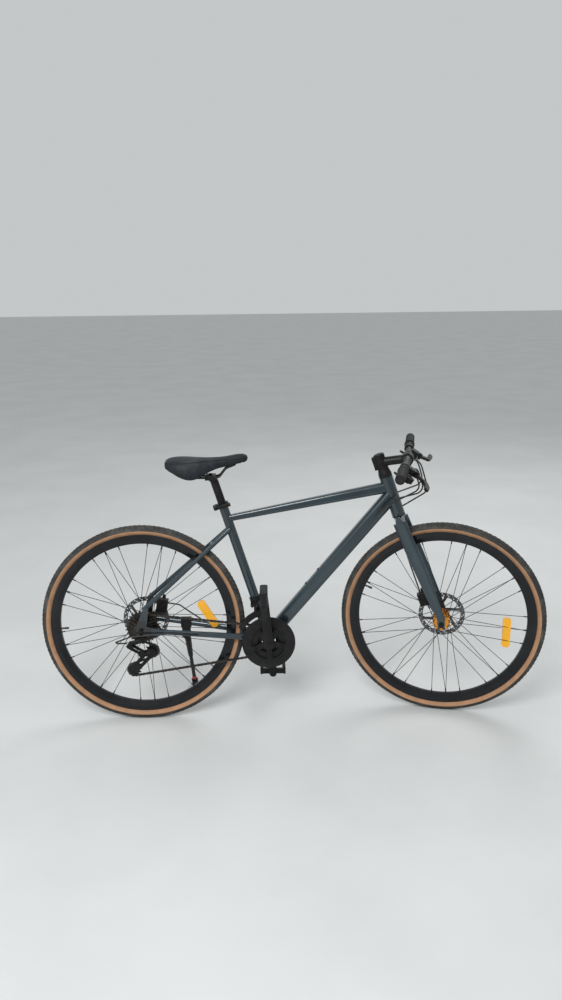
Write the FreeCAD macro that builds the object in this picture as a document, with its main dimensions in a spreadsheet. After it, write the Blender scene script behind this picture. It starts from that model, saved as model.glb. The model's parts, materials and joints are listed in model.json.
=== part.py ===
import FreeCAD, Part
import math
import os
import re

import Sketcher
from FreeCAD import Placement, Rotation, Vector

# Hybrid bicycle with flat handlebar, disc brakes, triple crankset and side stand.
# Lengths are millimetres and angles degrees. Every piece is drawn on the upright bicycle,
# whose origin is the rear axle, +X forward, +Y to the rider's left and +Z up.
# At the end the front end is turned, the whole bicycle leans on its stand and the middle
# of its footprint becomes the origin.

SIZES = {
    # Layout of the frame and of the two wheels.
    "wheel_base": 1033,
    "chainstay_length": 434,
    "bracket_drop": 55,
    "seat_angle": 72.6,
    "head_angle": 71,
    "fork_offset": 26,
    "fork_length": 398,
    "lean_angle": 4.5,
    "steer_angle": -13.5,
    # Gaps and margins that several pieces share.
    "running_gap": 0.06,
    "cut_margin": 1,
    "round_margin": 0.0001,
    "fit_tolerance": 0.01,
    # Tyres and rims.
    "tyre_radius": 349,
    "tyre_half_width": 19,
    "tyre_wall": 3.5,
    "bead_gap": 0.3,
    "bead_thickness": 3,
    "bead_seat": 2,
    "bead_lip": 1,
    "rim_radius": 318,
    "rim_depth": 32,
    "rim_half_width": 12.5,
    "rim_flange": 2.2,
    "rim_wall": 1.8,
    "rim_side_wall": 2.8,
    "rim_nose_wall": 2.8,
    "rim_well_depth": 9,
    "rim_shoulder": 6,
    "rim_nose_half_width": 5,
    "valve_radius": 3,
    "valve_reach": 25,
    "valve_cap_wall": 0.8,
    "valve_gap": 0.15,
    "front_valve_angle": 158,
    "rear_valve_angle": 182.5,
    # Spokes and hubs.
    "spoke_radius": 1,
    "spoke_count": 36,
    "spoke_crossing": 3,
    "spoke_head_gap": 0.1,
    "spoke_head_thickness": 1,
    "spoke_elbow_reach": 2.2,
    "spoke_hole_gap": 0.15,
    "rim_drilling_offset": 1.5,
    "nipple_radius": 2,
    "nipple_length": 12,
    "nipple_sink": 1,
    "spoke_circle": 25,
    "flange_radius": 29,
    "flange_thickness": 3,
    "hub_barrel_radius": 16,
    "hub_end_radius": 11,
    "hub_neck_length": 4,
    "hub_collar_rise": 2,
    "hub_flare_rise": 4,
    "hub_flare_length": 9,
    "rotor_seat_step": 4,
    "axle_radius": 5,
    "axle_end": 3,
    "axle_nut_width": 15,
    "axle_nut_length": 9,
    "axle_collar_radius": 9,
    "axle_collar_gap": 0.3,
    "front_hub_width": 100,
    "front_flange_right": 32,
    "front_flange_left": 20,
    "front_hub_end_right": 42,
    "front_hub_end_left": 44,
    "rear_hub_width": 135,
    "rear_flange_right": 22,
    "rear_flange_left": 34,
    "rear_hub_end_right": 64.5,
    "rear_hub_end_left": 59.5,
    "freewheel_radius": 17,
    # Reflectors on the spokes.
    "reflector_length": 90,
    "reflector_height": 27,
    "reflector_end_radius": 15,
    "reflector_thickness": 15,
    "reflector_reach": 66,
    "reflector_groove_gap": 0.12,
    "front_reflector_angle": 90,
    "rear_reflector_angle": -58,
    # Brake discs and calipers.
    "rotor_radius": 80,
    "rotor_band": 15,
    "rotor_thickness": 1.8,
    "rotor_centre_radius": 26,
    "rotor_bore_gap": 0.1,
    "rotor_hole_radius": 2.2,
    "rotor_hole_row_outer": 5,
    "rotor_hole_row_inner": 10.5,
    "rotor_hole_shift": 5.5,
    "front_rotor_place": 39.5,
    "rear_rotor_place": 52,
    "caliper_length": 38,
    "caliper_width": 25,
    "caliper_height": 46,
    "caliper_slot_gap": 0.7,
    "caliper_bridge_gap": 1.5,
    "caliper_housing_radius": 14,
    "caliper_housing_start": 6,
    "caliper_housing_end": 15,
    "caliper_pin_radius": 3,
    "caliper_pin_start": 14,
    "caliper_pin_end": 22,
    "caliper_foot_thickness": 7,
    "front_foot_length": 42,
    "rear_foot_length": 34,
    "caliper_foot_height": 30,
    "front_caliper_tilt": 20,
    "rear_caliper_tilt": -10,
    "caliper_arm_thickness": 4,
    "caliper_arm_place": 17.5,
    "caliper_arm_eye_bulge": 9,
    "caliper_arm_foot_bulge": 14,
    "caliper_arm_tip_bulge": 7,
    # Chain and toothed wheels.
    "chain_pitch": 12.7,
    "chain_inner_half": 1.3,
    "chain_plate": 0.8,
    "chain_play": 0.1,
    "chain_pin_radius": 1.7,
    "chain_eye_radius": 4.1,
    "roller_radius": 3.85,
    "roller_seat_gap": 0.2,
    "roller_seat_angle": 62,
    "tooth_height": 3.4,
    "sprocket_thickness": 1.9,
    "sprocket_spacing": 5,
    "sprocket_bore_gap": 0.3,
    "sprocket_carrier_wall": 3,
    "ring_spacing": 8,
    "small_ring_bore": 24,
    "middle_ring_bore": 26,
    "large_ring_bore": 38,
    "inner_post_circle": 32,
    "inner_post_radius": 4,
    "post_circle": 46,
    "post_radius": 5,
    "post_gap": 0.05,
    "post_end": 18.5,
    "chain_line": 39.5,
    "pulley_teeth": 11,
    "pulley_pin_radius": 3,
    "pulley_boss_radius": 7,
    "pulley_boss_length": 7,
    "guide_pulley_forward": 30,
    "guide_pulley_below": 84,
    # Crankset and pedals.
    "crank_length": 170,
    "crank_angle": 94.5,
    "crank_boss_radius": 17,
    "crank_tip_radius": 13,
    "crank_thickness": 13,
    "right_crank_place": 78,
    "left_crank_place": 74,
    "spider_boss_radius": 21,
    "spider_boss_length": 15.5,
    "spider_thickness": 5,
    "spider_inset": 13,
    "spider_tip_bulge": 9,
    "guard_radius": 91,
    "guard_band": 32,
    "guard_thickness": 3,
    "guard_tab_root": 40,
    "guard_tab_root_half": 8,
    "guard_tab_tip_half": 11,
    "guard_tab_overlap": 3,
    "guard_tab_bulge": 12,
    "bracket_width": 68,
    "bracket_radius": 20,
    "bracket_bore": 17.2,
    "cup_depth": 14,
    "cup_flange": 3,
    "cup_step": 1,
    "spindle_radius": 8.5,
    "spindle_end": 5,
    "pedal_length": 92,
    "pedal_width": 94,
    "pedal_thickness": 26,
    "pedal_body_step": 8,
    "pedal_end_length": 8,
    "pedal_end_inset": 10,
    "pedal_window_length": 24,
    "pedal_window_inset": 24,
    "pedal_window_place": 22.5,
    "pedal_axle_radius": 4.5,
    "pedal_axle_inset": 4,
    "pedal_gap": 6,
    # Frame tubes.
    "head_tube_length": 138,
    "head_tube_radius": 22.5,
    "head_bore_gap": 4,
    "headset_height": 12,
    "lower_cover_height": 4,
    "steerer_radius": 14.3,
    "seat_tube_length": 500,
    "seat_tube_radius": 15.9,
    "post_bore_start": 70,
    "seatpost_radius": 13.6,
    "top_tube_height_rear": 21,
    "top_tube_height_front": 38,
    "top_tube_width_rear": 26,
    "top_tube_width_front": 34,
    "top_tube_rise": 368,
    "top_tube_head_share": 0.736,
    "down_tube_height_low": 44,
    "down_tube_height_high": 50,
    "down_tube_width": 42,
    "down_tube_head_share": 0.529,
    "section_corner_share": 0.6,
    "tube_wall": 1.8,
    "boss_place": 230,
    "boss_spacing": 64,
    "boss_radius": 5.5,
    "boss_depth": 5,
    "boss_rise": 1.5,
    "thread_radius": 2.1,
    "thread_reach": 9,
    "stay_height_front": 24,
    "stay_height_rear": 17,
    "stay_width_front": 15,
    "stay_width_rear": 13,
    "seatstay_radius": 8,
    "seatstay_side_radius": 7,
    "seatstay_rise": 336,
    "bridge_radius": 6,
    "seat_bridge_share": 0.22,
    "chain_bridge_share": 0.12,
    "dropout_thickness": 6,
    "dropout_slot_gap": 0.1,
    "hanger_bulge": 12,
    # Seat clamp.
    "clamp_height": 16,
    "clamp_wall": 4.5,
    "clamp_ear_place": 8,
    "clamp_ear_length": 16,
    "clamp_ear_width": 24,
    "clamp_ear_height": 14,
    "clamp_slot_inset": 2,
    "clamp_slot_length": 26,
    "clamp_slot_width": 3,
    "skewer_radius": 3,
    "skewer_right": 18.7,
    "skewer_left": 18,
    "skewer_head_radius": 6,
    "skewer_nut_radius": 7,
    "skewer_nut_length": 5,
    "cam_place": 25,
    "cam_radius": 6,
    "cam_half_height": 6,
    "cam_lever_length": 52,
    "cam_lever_flare": 5,
    "cam_lever_root_half": 6,
    "cam_lever_root_thickness": 2.5,
    "cam_lever_tip_half": 7,
    "cam_lever_tip_thickness": 2,
    # Fork, stem and handlebar.
    "blade_depth_top": 48,
    "blade_depth_tip": 26,
    "blade_width_top": 22,
    "blade_width_tip": 13,
    "blade_spread_top": 37,
    "blade_waist": 2,
    "blade_waist_share": 0.45,
    "eyelet_share": 0.46,
    "crown_height": 32,
    "crown_swell": 2,
    "crown_drop": 4,
    "crown_overhang": 9,
    "crown_clear_radius": 42.5,
    "steerer_root": 4,
    "steerer_top_gap": 2,
    "steerer_bore_start": 10,
    "steerer_wall": 3,
    "spacer_height": 16,
    "spacer_foot_radius": 21.5,
    "stem_length": 89,
    "stem_rise_angle": 9,
    "stem_clamp_height": 50,
    "stem_clamp_radius": 18.5,
    "stem_neck_radius": 15,
    "stem_cap_height": 3,
    "stem_cap_step": 1,
    "stem_cap_chamfer": 2,
    "pinch_place": 19.5,
    "pinch_length": 12,
    "pinch_width": 22,
    "pinch_height": 44,
    "pinch_slot_place": 24,
    "pinch_slot_length": 30,
    "pinch_slot_width": 2.5,
    "bar_clamp_radius": 15.9,
    "bar_clamp_half_length": 22,
    "bar_clamp_cut": 60,
    "bar_clamp_face": 1,
    "bar_clamp_gap": 1.5,
    "faceplate_wall": 4.5,
    "faceplate_bolt_radius": 3.4,
    "faceplate_bolt_length": 9,
    "faceplate_bolt_start": 1,
    "faceplate_bolt_rise": 2.4,
    "faceplate_bolt_spread": 15,
    "bar_radius": 11.1,
    "bar_width": 650,
    "bar_rise": 8,
    "bar_sweep": 6,
    "bar_bulge_half_length": 60,
    "bar_bulge_flat_half": 26,
    "grip_radius": 16,
    "grip_length": 128,
    "grip_collar_rise": 2,
    "grip_collar_length": 5,
    "grip_collar_slope": 2,
    "grip_waist": 1,
    "grip_end_length": 6,
    "grip_end_waist": 0.5,
    "grip_end_round": 4,
    "grip_end_wall": 3,
    "grip_end_gap": 0.1,
    # Brake levers and shifters.
    "control_tilt": -33,
    "brake_place": 146,
    "brake_clamp_half": 8,
    "brake_clamp_wall": 5,
    "hood_forward": 21,
    "hood_inset": 14,
    "hood_length": 32,
    "hood_height": 20,
    "hood_width": 34,
    "lever_inset": 12,
    "lever_forward_place": 42,
    "lever_cheek_radius": 9,
    "lever_cheek_half": 10,
    "lever_slot_half": 5.2,
    "lever_slot_radius": 11,
    "lever_notch_length": 22,
    "lever_notch_width": 40,
    "lever_notch_place": 20,
    "lever_notch_forward": 2,
    "lever_pin_radius": 2.5,
    "lever_thickness": 9,
    "lever_eye_bulge": 14,
    "lever_outer_bulge": 160,
    "lever_tip_bulge": 9,
    "lever_inner_bulge": 150,
    "barrel_radius": 4,
    "brake_barrel_start": 18,
    "brake_barrel_end": 40,
    "brake_barrel_back": 8,
    "shift_place": 175,
    "shift_forward": 26,
    "shift_drop": 16,
    "shift_clamp_half": 6,
    "shift_clamp_wall": 4.5,
    "pod_radius": 19,
    "pod_above": 7,
    "pod_below": 9,
    "shift_pin_radius": 3,
    "shift_pin_start": 8,
    "shift_pin_end": 14,
    "pod_barrel_start": 17,
    "pod_barrel_end": 31,
    "pod_barrel_forward": 4,
    "pod_barrel_drop": 3,
    "paddle_thickness": 4.4,
    "paddle_drop": 11.5,
    "paddle_bulge": 9,
    # Seatpost and saddle.
    "saddle_length": 273,
    "saddle_half_width": 76,
    "saddle_depth": 70,
    "saddle_height": 578,
    "saddle_rear": 98,
    "saddle_padding": 24,
    "saddle_hollow_share": 0.82,
    "saddle_base_skin": 4,
    "rail_radius": 3.5,
    "rail_spacing": 44,
    "rail_bend": 22,
    "post_neck": 14,
    "post_insertion": 170,
    "post_neck_half_length": 17,
    "post_neck_half_width": 18,
    "post_neck_sink": 2,
    "cradle_length": 36,
    "cradle_width": 54,
    "cradle_height": 8,
    "rail_cap_length": 32,
    "rail_cap_height": 7,
    "rail_cap_place": 4,
    "seat_bolt_radius": 6,
    "seat_bolt_foot": 6,
    "seat_bolt_top": 12,
    # Rear derailleur.
    "knuckle_boss_radius": 11,
    "knuckle_boss_length": 13,
    "knuckle_head_radius": 6,
    "knuckle_head_length": 3,
    "knuckle_arm_place": 7,
    "knuckle_arm_root_half": 9,
    "knuckle_arm_tip_half": 8,
    "knuckle_arm_thickness": 6,
    "link_pin_radius": 3,
    "link_pin_reach": 9,
    "link_pin_root": 10,
    "link_cheek_place": 11,
    "link_lug_radius": 9,
    "link_lug_start": 8.2,
    "link_lug_end": 14,
    "link_clear_radius": 12,
    "link_thickness": 16,
    "link_half_width": 8.5,
    "link_window_thickness": 9,
    "link_window_half": 12,
    "link_window_inset": 11,
    "tail_barrel_radius": 4.5,
    "tail_barrel_length": 16,
    "cable_stop_gap": 0.2,
    "housing_place": 7,
    "housing_length": 18,
    "housing_radius": 13,
    "body_arm_place": 12,
    "body_arm_root_half": 8,
    "body_arm_root_thickness": 6,
    "body_arm_tip_half": 7,
    "body_arm_tip_thickness": 5.5,
    "cage_length": 93,
    "cage_angle": -127,
    "cage_search_angle": 20,
    "cage_plate_place": 5.4,
    "cage_plate_thickness": 1.6,
    "cage_guide_half": 15,
    "cage_tension_half": 14,
    "cage_slot_half": 4,
    "cage_slot_inset": 30,
    "cage_slot_depth": 6,
    "cage_pin_half": 6.9,
    # Front derailleur.
    "derailleur_height": 84,
    "band_half_height": 8,
    "band_wall": 4,
    "guide_block_length": 22,
    "guide_block_width": 16,
    "guide_block_height": 26,
    "guide_radius": 2.5,
    "guide_front": 2,
    "guide_back": -10,
    "guide_drop": 10,
    "guide_start": 22,
    "guide_end": 66,
    "guide_bore_end": 90,
    "cage_arch_gap": 3,
    "cage_arch_width": 19,
    "cage_arch_half_thickness": 0.8,
    "cage_arch_place": 5.6,
    "cage_arch_start_angle": 98,
    "cage_arch_middle_angle": 126,
    "cage_arch_end_angle": 154,
    "cage_arch_reach": 170,
    "cage_arch_depth": 100,
    "carrier_length": 24,
    "carrier_width": 11.2,
    "carrier_height": 12,
    "carrier_place": -4,
    "riser_length": 8,
    "riser_height": 22,
    "riser_angle": 112,
    "riser_top_drop": 16,
    # Stand.
    "stand_forward": 140,
    "stand_below": 62,
    "stand_place": 66,
    "stand_splay": 31,
    "stand_leg_radius": 6.5,
    "stand_socket_root_radius": 12,
    "stand_socket_tip_radius": 9,
    "stand_socket_share": 0.42,
    "stand_foot_radius": 12,
    "stand_foot_height": 30,
    "stand_foot_below": 15,
    "stand_ground_size": 120,
    "stand_eye_radius": 13,
    "stand_eye_half": 10,
    "stand_eye_gap": 0.3,
    "stand_pin_radius": 4,
    "stand_pin_root": 16,
    "stand_pin_tip": 11,
    "stand_pin_head_radius": 6,
    "stand_pin_head_end": 13,
    "stand_cheek_end": 20,
    "stand_clear_radius": 15,
    "stand_clear_end": 30,
    "stand_clamp_length": 36,
    "stand_clamp_width": 27,
    "stand_clamp_height": 32,
    "stand_drop_length": 30,
    "stand_drop_width": 13,
    "stand_drop_height": 52,
    "stand_drop_inset": 5,
    "stand_drop_below": 6,
    # Cables.
    "cable_exit_share": 0.5,
    "cable_radius": 2.5,
    "cable_bend": 30,
    "cable_rear_bend": 20,
    "cable_lead": 30,
    "cable_front_reach": 44,
    "cable_front_spread": 62,
    "cable_under_reach": 40,
    "cable_under_spread": 46,
    "cable_under_drop": 58,
    "cable_under_step": 24,
    "port_first": 62,
    "port_second": 86,
    "port_depth": 1,
    "port_gap": 0.3,
    "port_lead": 18,
    "port_lead_out": 6,
    "port_end": 6,
    "port_end_in": 2,
    "port_approach": 46,
    "port_approach_out": 17,
    "caliper_stop_lead": 40,
    "front_cable_reach": 52,
    "front_cable_spread": 44,
    "front_cable_back": 6,
    "front_cable_drop": 100,
    "front_stop_lead": 100,
}

# Points and offsets that place a piece, as forward, left and up.
POINTS = {
    "front_reflector": (219.5, -1, -36),
    "rear_reflector": (222.5, 1, 31),
    "chainstay_front": (-12, 26, 3),
    "chainstay_rear": (36, 65, -5),
    "seatstay_top": (0, 17, 0),
    "seatstay_rear": (10, 66, 71),
    "blade_tip": (2, 0, 14),
    "front_caliper": (-62, 0, 54),
    "rear_caliper": (58, 0, 48),
    "front_foot": (24, 9, 6),
    "rear_foot": (-2, 10, -28),
    "saddle_clamp": (246, 0, -67),
    "rail_nose": (330, 8, -25),
    "rail_nose_bend": (298, 14, -37),
    "rail_front": (274, 22, -67),
    "rail_back": (200, 22, -67),
    "rail_rise": (156, 33, -46),
    "rail_tail": (134, 36, -40),
    "knuckle_bolt": (8, 0, -30),
    "link_start": (-40, -79, -50),
    "link_end": (2, -66, -82),
    "guide_block": (-4, -24, -6),
    "gear_cable_side": (84, -79, -10),
    "gear_cable_back": (-34, -92, -14),
    "gear_cable_loop": (-88, -90, -34),
    "gear_cable_end": (-24, 0, 0),
    "brake_cable_side": (150, 66, 18),
    "rear_stop": (0, 7, 8),
    "front_stop": (-7, 7, 0),
    "front_cable_crown": (-30, 22, 10),
}

# Flat outlines, corner by corner.
OUTLINES = {
    "rotor_arm": ((-14, 23), (-4, 24), (20, 65), (11, 69)),
    "dropout": ((-14, -16), (30, -19), (74, -17), (74, -1), (20, 14), (28, 78), (14, 88), (-16, 12)),
    "hanger": ((6, -17), (-2, -30), (18, -30), (26, -19)),
    "fork_dropout": ((-13, 6), (-12, -14), (12, -14), (12, 8), (4, 36), (-18, 36)),
    "brake_lever": ((-5, -7), (7, -5), (40, 22), (52, 104), (43, 108), (38, 98), (26, 28), (-7, 6)),
    "shift_lever": ((7, -7), (7, 7), (-7, 8), (-42, -8), (-40, -24), (-6, -8)),
    "caliper_arm": ((-8, -4), (-5, -8), (8, -4), (7, 30), (-4, 32)),
    "spider_arm": ((-12, 0), (12, 0), (8, 50), (-8, 50)),
    "rack_eyelet": ((10.7, 44.6),),
}

# Stations of the saddle from tail to nose: shares of its length, half width and depth.
SADDLE_SHARES = (
    (0.0, 0.52, -0.12, -0.40),
    (0.05, 0.74, -0.03, -0.56),
    (0.16, 0.94, 0.02, -0.80),
    (0.30, 0.97, 0.0, -0.99),
    (0.40, 0.83, -0.03, -0.93),
    (0.50, 0.62, -0.04, -0.73),
    (0.62, 0.42, -0.02, -0.54),
    (0.78, 0.29, 0.06, -0.40),
    (0.92, 0.24, 0.14, -0.29),
    (1.0, 0.12, 0.04, -0.17),
)
# One half of a station from crown to belly: shares of its half width and of its depth.
SECTION_SHARES = ((0.0, 0.0), (0.55, 0.06), (0.92, 0.26), (1.0, 0.55), (0.93, 0.92), (0.6, 1.0), (0.0, 1.0))
# Directions of the stand's leg, folded back along the chainstay and leaning forward when down.
STAND_FOLDED_SHARES = (-0.97, 0.2, 0.1)
STAND_LEAN_SHARE = 0.02
SPOKE_LEAN_SHARE = 0.5
TOOTH_SHARE = 0.42
WEB_SHARE = 0.75
BEND_SHARE = 0.48
ROPE_SHARE = 0.01
CABLE_SPREAD_SHARES = (1.0, 0.7, 0.85)
CABLE_SIDE_SHARES = (1.0, 1.4, 1.0)

# Side of the frame and place along the down tube of each cable's entry.
PORTS = ((-1, "port_first"), (-1, "port_second"), (1, "port_first"))
CASSETTE_TEETH = (28, 24, 22, 20, 18, 16, 14)
RING_TEETH = (24, 34, 42)
RING_BORES = ("small_ring_bore", "middle_ring_bore", "large_ring_bore")
RAIL = ("rail_nose", "rail_nose_bend", "rail_front", "rail_back", "rail_rise", "rail_tail")
CHAIN_SPROCKET = 24
ROTOR_ARMS = 6
ROTOR_HOLES = 24
SPIDER_ARMS = 5
NUT_SIDES = 6
SEARCH_STEPS = 50
SETTLE_STEPS = 6
FULL_TURN = 360
HALF_TURN = 180
QUARTER_TURN = 90


def every_size():
    """All driving numbers by name: sizes, points by axis and outlines by corner."""
    yield from SIZES.items()
    for name, numbers in POINTS.items():
        for axis, number in zip("xyz", numbers):
            yield f"{name}_{axis}", number
    for name, corners in OUTLINES.items():
        for index, (u, v) in enumerate(corners, start=1):
            yield f"{name}_u{index}", u
            yield f"{name}_v{index}", v


ALIASES = dict(every_size())

document = FreeCAD.newDocument("hybrid_bicycle")
sheet = document.addObject("Spreadsheet::Sheet", "sizes")
for row, (name, number) in enumerate(ALIASES.items(), start=1):
    sheet.set(f"A{row}", name)
    sheet.set(f"B{row}", str(number))
    sheet.setAlias(f"B{row}", name)
document.recompute()


class Sizes:
    """The driving dimensions, read from the sheet by name."""

    def __getattr__(self, name):
        return float(sheet.get(name))


size = Sizes()
nodes = []


# Small helpers for places, expressions and booleans.

def bound(text):
    """The expression with the sheet's name before each of its aliases."""
    def named(word):
        return "sizes." + word[0] if word[0] in ALIASES else word[0]
    return re.sub(r"[a-z_][a-z_0-9]*", named, text)


def value(text):
    """The number that an expression has now."""
    number = document.getObject("sizes").evalExpression(bound(text))
    return float(getattr(number, "Value", number))


def point(name):
    """A point or offset of the layout, from its three numbers in the sheet."""
    return Vector(*[value(f"{name}_{axis}") for axis in "xyz"])


def outline(name):
    """The corners of a flat outline as pairs of expressions."""
    corners = enumerate(OUTLINES[name], start=1)
    return [(f"{name}_u{index}" if u else "0", f"{name}_v{index}" if v else "0") for index, (u, v) in corners]


def bind(item, **expressions):
    for name, text in expressions.items():
        item.setExpression(name, bound(text))
    return item


def place(base=Vector(), direction=Vector(0, 0, 1), of=Vector(0, 0, 1)):
    return Placement(base, Rotation(of, direction))


def cylinder(start, end, radius):
    """A round bar from one point to another."""
    bar = bind(document.addObject("Part::Cylinder", "bar"), Radius=radius)
    bar.Height = (end - start).Length
    bar.Placement = place(start, end - start)
    return bar


def box(centre, across, turn=Rotation()):
    """A block by its centre and its three sizes, given as expressions."""
    block = document.addObject("Part::Box", "block")
    bind(block, Length=across[0], Width=across[1], Height=across[2])
    half = Vector(*[value(text) / 2 for text in across])
    block.Placement = Placement(centre, turn).multiply(Placement(half * -1, Rotation()))
    return block


def fuse(*items):
    joined = document.addObject("Part::MultiFuse", "joined")
    joined.Shapes = list(items)
    return joined


def cut(base, *tools):
    for tool in tools:
        rest = document.addObject("Part::Cut", "rest")
        rest.Base = base
        rest.Tool = tool
        base = rest
    return base


def group(*items):
    held = document.addObject("Part::Compound", "held")
    held.Links = list(items)
    return held


def made(shape, placement=Placement()):
    """A shape worked out in code, as an object of the document."""
    item = document.addObject("Part::Feature", "made")
    item.Shape = shape
    item.Placement = placement
    return item


def loft(*sections):
    """A solid through ellipses, each a placement with its two half axes as expressions."""
    rings = []
    for placement, along, across in sections:
        ring = document.addObject("Part::Ellipse", "section")
        if value(along) >= value(across):
            bind(ring, MajorRadius=along, MinorRadius=across)
        else:
            bind(ring, MajorRadius=across, MinorRadius=along)
            placement = placement.multiply(Placement(Vector(), Rotation(Vector(0, 0, 1), QUARTER_TURN)))
        ring.Placement = placement
        rings.append(ring)
    solid = document.addObject("Part::Loft", "tube")
    solid.Sections = rings
    solid.Solid = True
    return solid


def node(label, item, steered=False):
    """Names a finished piece; a steered piece turns with the handlebar."""
    item.Label = label
    nodes.append((item, steered))
    return item


# Sketches, pads and revolutions.

def draw(sketch, corners, bulges=None):
    """A closed outline: corners as pairs of expressions, bulges as signed arc radii by corner."""
    bulges = bulges or {}
    points = [Vector(value(u), value(v), 0) for u, v in corners]
    first = sketch.GeometryCount
    ends = []
    for index, start in enumerate(points):
        end = points[(index + 1) % len(points)]
        radius = value(bulges[index]) if index in bulges else 0
        if radius:
            chord = end - start
            left = Vector(-chord.y, chord.x, 0).normalize() * math.copysign(1, radius)
            centre = (start + end) / 2 + left * math.sqrt(max(radius ** 2 - (chord.Length / 2) ** 2, 0))
            near, far = (start, end) if radius > 0 else (end, start)
            turn = [math.atan2(p.y - centre.y, p.x - centre.x) for p in (near, far)]
            circle = Part.Circle(centre, Vector(0, 0, 1), abs(radius))
            sketch.addGeometry(Part.ArcOfCircle(circle, turn[0], turn[1]))
            ends.append((1, 2) if radius > 0 else (2, 1))
        else:
            sketch.addGeometry(Part.LineSegment(start, end))
            ends.append((1, 2))
    for index, (u, v) in enumerate(corners):
        here = first + index
        after = (index + 1) % len(corners)
        meeting = Sketcher.Constraint("Coincident", here, ends[index][1], first + after, ends[after][0])
        sketch.addConstraint(meeting)
        for kind, axis, text in (("DistanceX", -2, u), ("DistanceY", -1, v)):
            if text == "0":
                sketch.addConstraint(Sketcher.Constraint("PointOnObject", here, ends[index][0], axis))
            else:
                rule = Sketcher.Constraint(kind, -1, 1, here, ends[index][0], value(text))
                number = sketch.addConstraint(rule)
                sketch.setExpression(f"Constraints[{number}]", bound(text))
        if index in bulges:
            number = sketch.addConstraint(Sketcher.Constraint("Radius", here, abs(value(bulges[index]))))
            sketch.setExpression(f"Constraints[{number}]", bound(f"abs({bulges[index]})"))


def ring_line(sketch, radius, centre=("0", "0")):
    """A circle in a sketch."""
    middle = Vector(value(centre[0]), value(centre[1]), 0)
    here = sketch.addGeometry(Part.Circle(middle, Vector(0, 0, 1), value(radius)))
    number = sketch.addConstraint(Sketcher.Constraint("Radius", here, value(radius)))
    sketch.setExpression(f"Constraints[{number}]", bound(radius))
    for kind, axis, text in (("DistanceX", -2, centre[0]), ("DistanceY", -1, centre[1])):
        if text == "0":
            sketch.addConstraint(Sketcher.Constraint("PointOnObject", here, 3, axis))
        else:
            number = sketch.addConstraint(Sketcher.Constraint(kind, -1, 1, here, 3, value(text)))
            sketch.setExpression(f"Constraints[{number}]", bound(text))


def sketch_in(body, role):
    sketch = body.newObject("Sketcher::SketchObject", "outline")
    plane = next(item for item in body.Origin.OriginFeatures if item.Role == role)
    sketch.AttachmentSupport = [(plane, "")]
    sketch.MapMode = "FlatFace"
    return sketch


def turned(*outlines):
    """A body of revolution about its Y axis: outlines of (along, radius) corners, with bulges."""
    body = document.addObject("PartDesign::Body", "turned")
    sketch = sketch_in(body, "YZ_Plane")
    for corners in outlines:
        draw(sketch, *corners)
    spin = body.newObject("PartDesign::Revolution", "spin")
    spin.Profile = sketch
    spin.ReferenceAxis = (sketch, ["H_Axis"])
    spin.Angle = FULL_TURN
    return body


def padded(body, thickness, edge=None, circles=()):
    """A plate in the body's XZ plane, centred on it."""
    sketch = sketch_in(body, "XZ_Plane")
    if edge:
        draw(sketch, *edge)
    for circle in circles:
        ring_line(sketch, *circle)
    pad = body.newObject("PartDesign::Pad", "plate")
    pad.Profile = sketch
    pad.SideType = "Symmetric"
    bind(pad, Length=thickness)
    return pad


def plate(thickness, edge=None, circles=()):
    body = document.addObject("PartDesign::Body", "plate")
    padded(body, thickness, edge, circles)
    return body


def round_about(body, feature, count):
    """Repeats a feature round the body's Y axis."""
    pattern = body.newObject("PartDesign::PolarPattern", "pattern")
    pattern.Originals = [feature]
    axis = next(item for item in body.Origin.OriginFeatures if item.Role == "Y_Axis")
    pattern.Axis = (axis, [""])
    pattern.Angle = FULL_TURN
    pattern.Occurrences = count
    body.Tip = pattern
    return pattern


def ring(inner, outer, start, end):
    """The outline of a plain ring about the Y axis."""
    return [(start, inner), (end, inner), (end, outer), (start, outer)]


# Points of the layout.

def polar(angle, length):
    return Vector(math.cos(math.radians(angle)) * length, 0, math.sin(math.radians(angle)) * length)


SIDE = Vector(0, 1, 0)
rear_axle = Vector()
front_axle = Vector(size.wheel_base, 0, 0)
bracket_forward = math.sqrt(size.chainstay_length ** 2 - size.bracket_drop ** 2)
bracket = Vector(bracket_forward, 0, -size.bracket_drop)
seat_up = polar(HALF_TURN - size.seat_angle, 1)
head_up = polar(HALF_TURN - size.head_angle, 1)
head_forward = polar(QUARTER_TURN - size.head_angle, 1)
steer_foot = front_axle - head_forward * size.fork_offset
crown_race = steer_foot + head_up * size.fork_length
head_bottom = crown_race + head_up * size.lower_cover_height
head_top = head_bottom + head_up * size.head_tube_length
seat_top = bracket + seat_up * size.seat_tube_length
spacer_bottom = head_top + head_up * size.headset_height
stem_bottom = spacer_bottom + head_up * size.spacer_height
stem_top = stem_bottom + head_up * size.stem_clamp_height
bar_centre = (stem_bottom + stem_top) / 2 + polar(size.stem_rise_angle, size.stem_length)
bar_end = bar_centre + Vector(-size.bar_sweep, size.bar_width / 2, size.bar_rise)
bar_bend = bar_centre + Vector(0, size.bar_bulge_half_length, 0)
crank_tip = polar(size.crank_angle, size.crank_length)


def on_seat_tube(height):
    """The point of the seat tube's axis at a height above the axles."""
    return bracket + seat_up * ((height - bracket.z) / seat_up.z)


def mirrored(corner):
    return Vector(corner.x, -corner.y, corner.z)


# Wheels.

def both_sides(corners):
    """Corners of one half, followed by their mirror images."""
    return corners + [(f"-({u})", v) for u, v in reversed(corners)]


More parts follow.
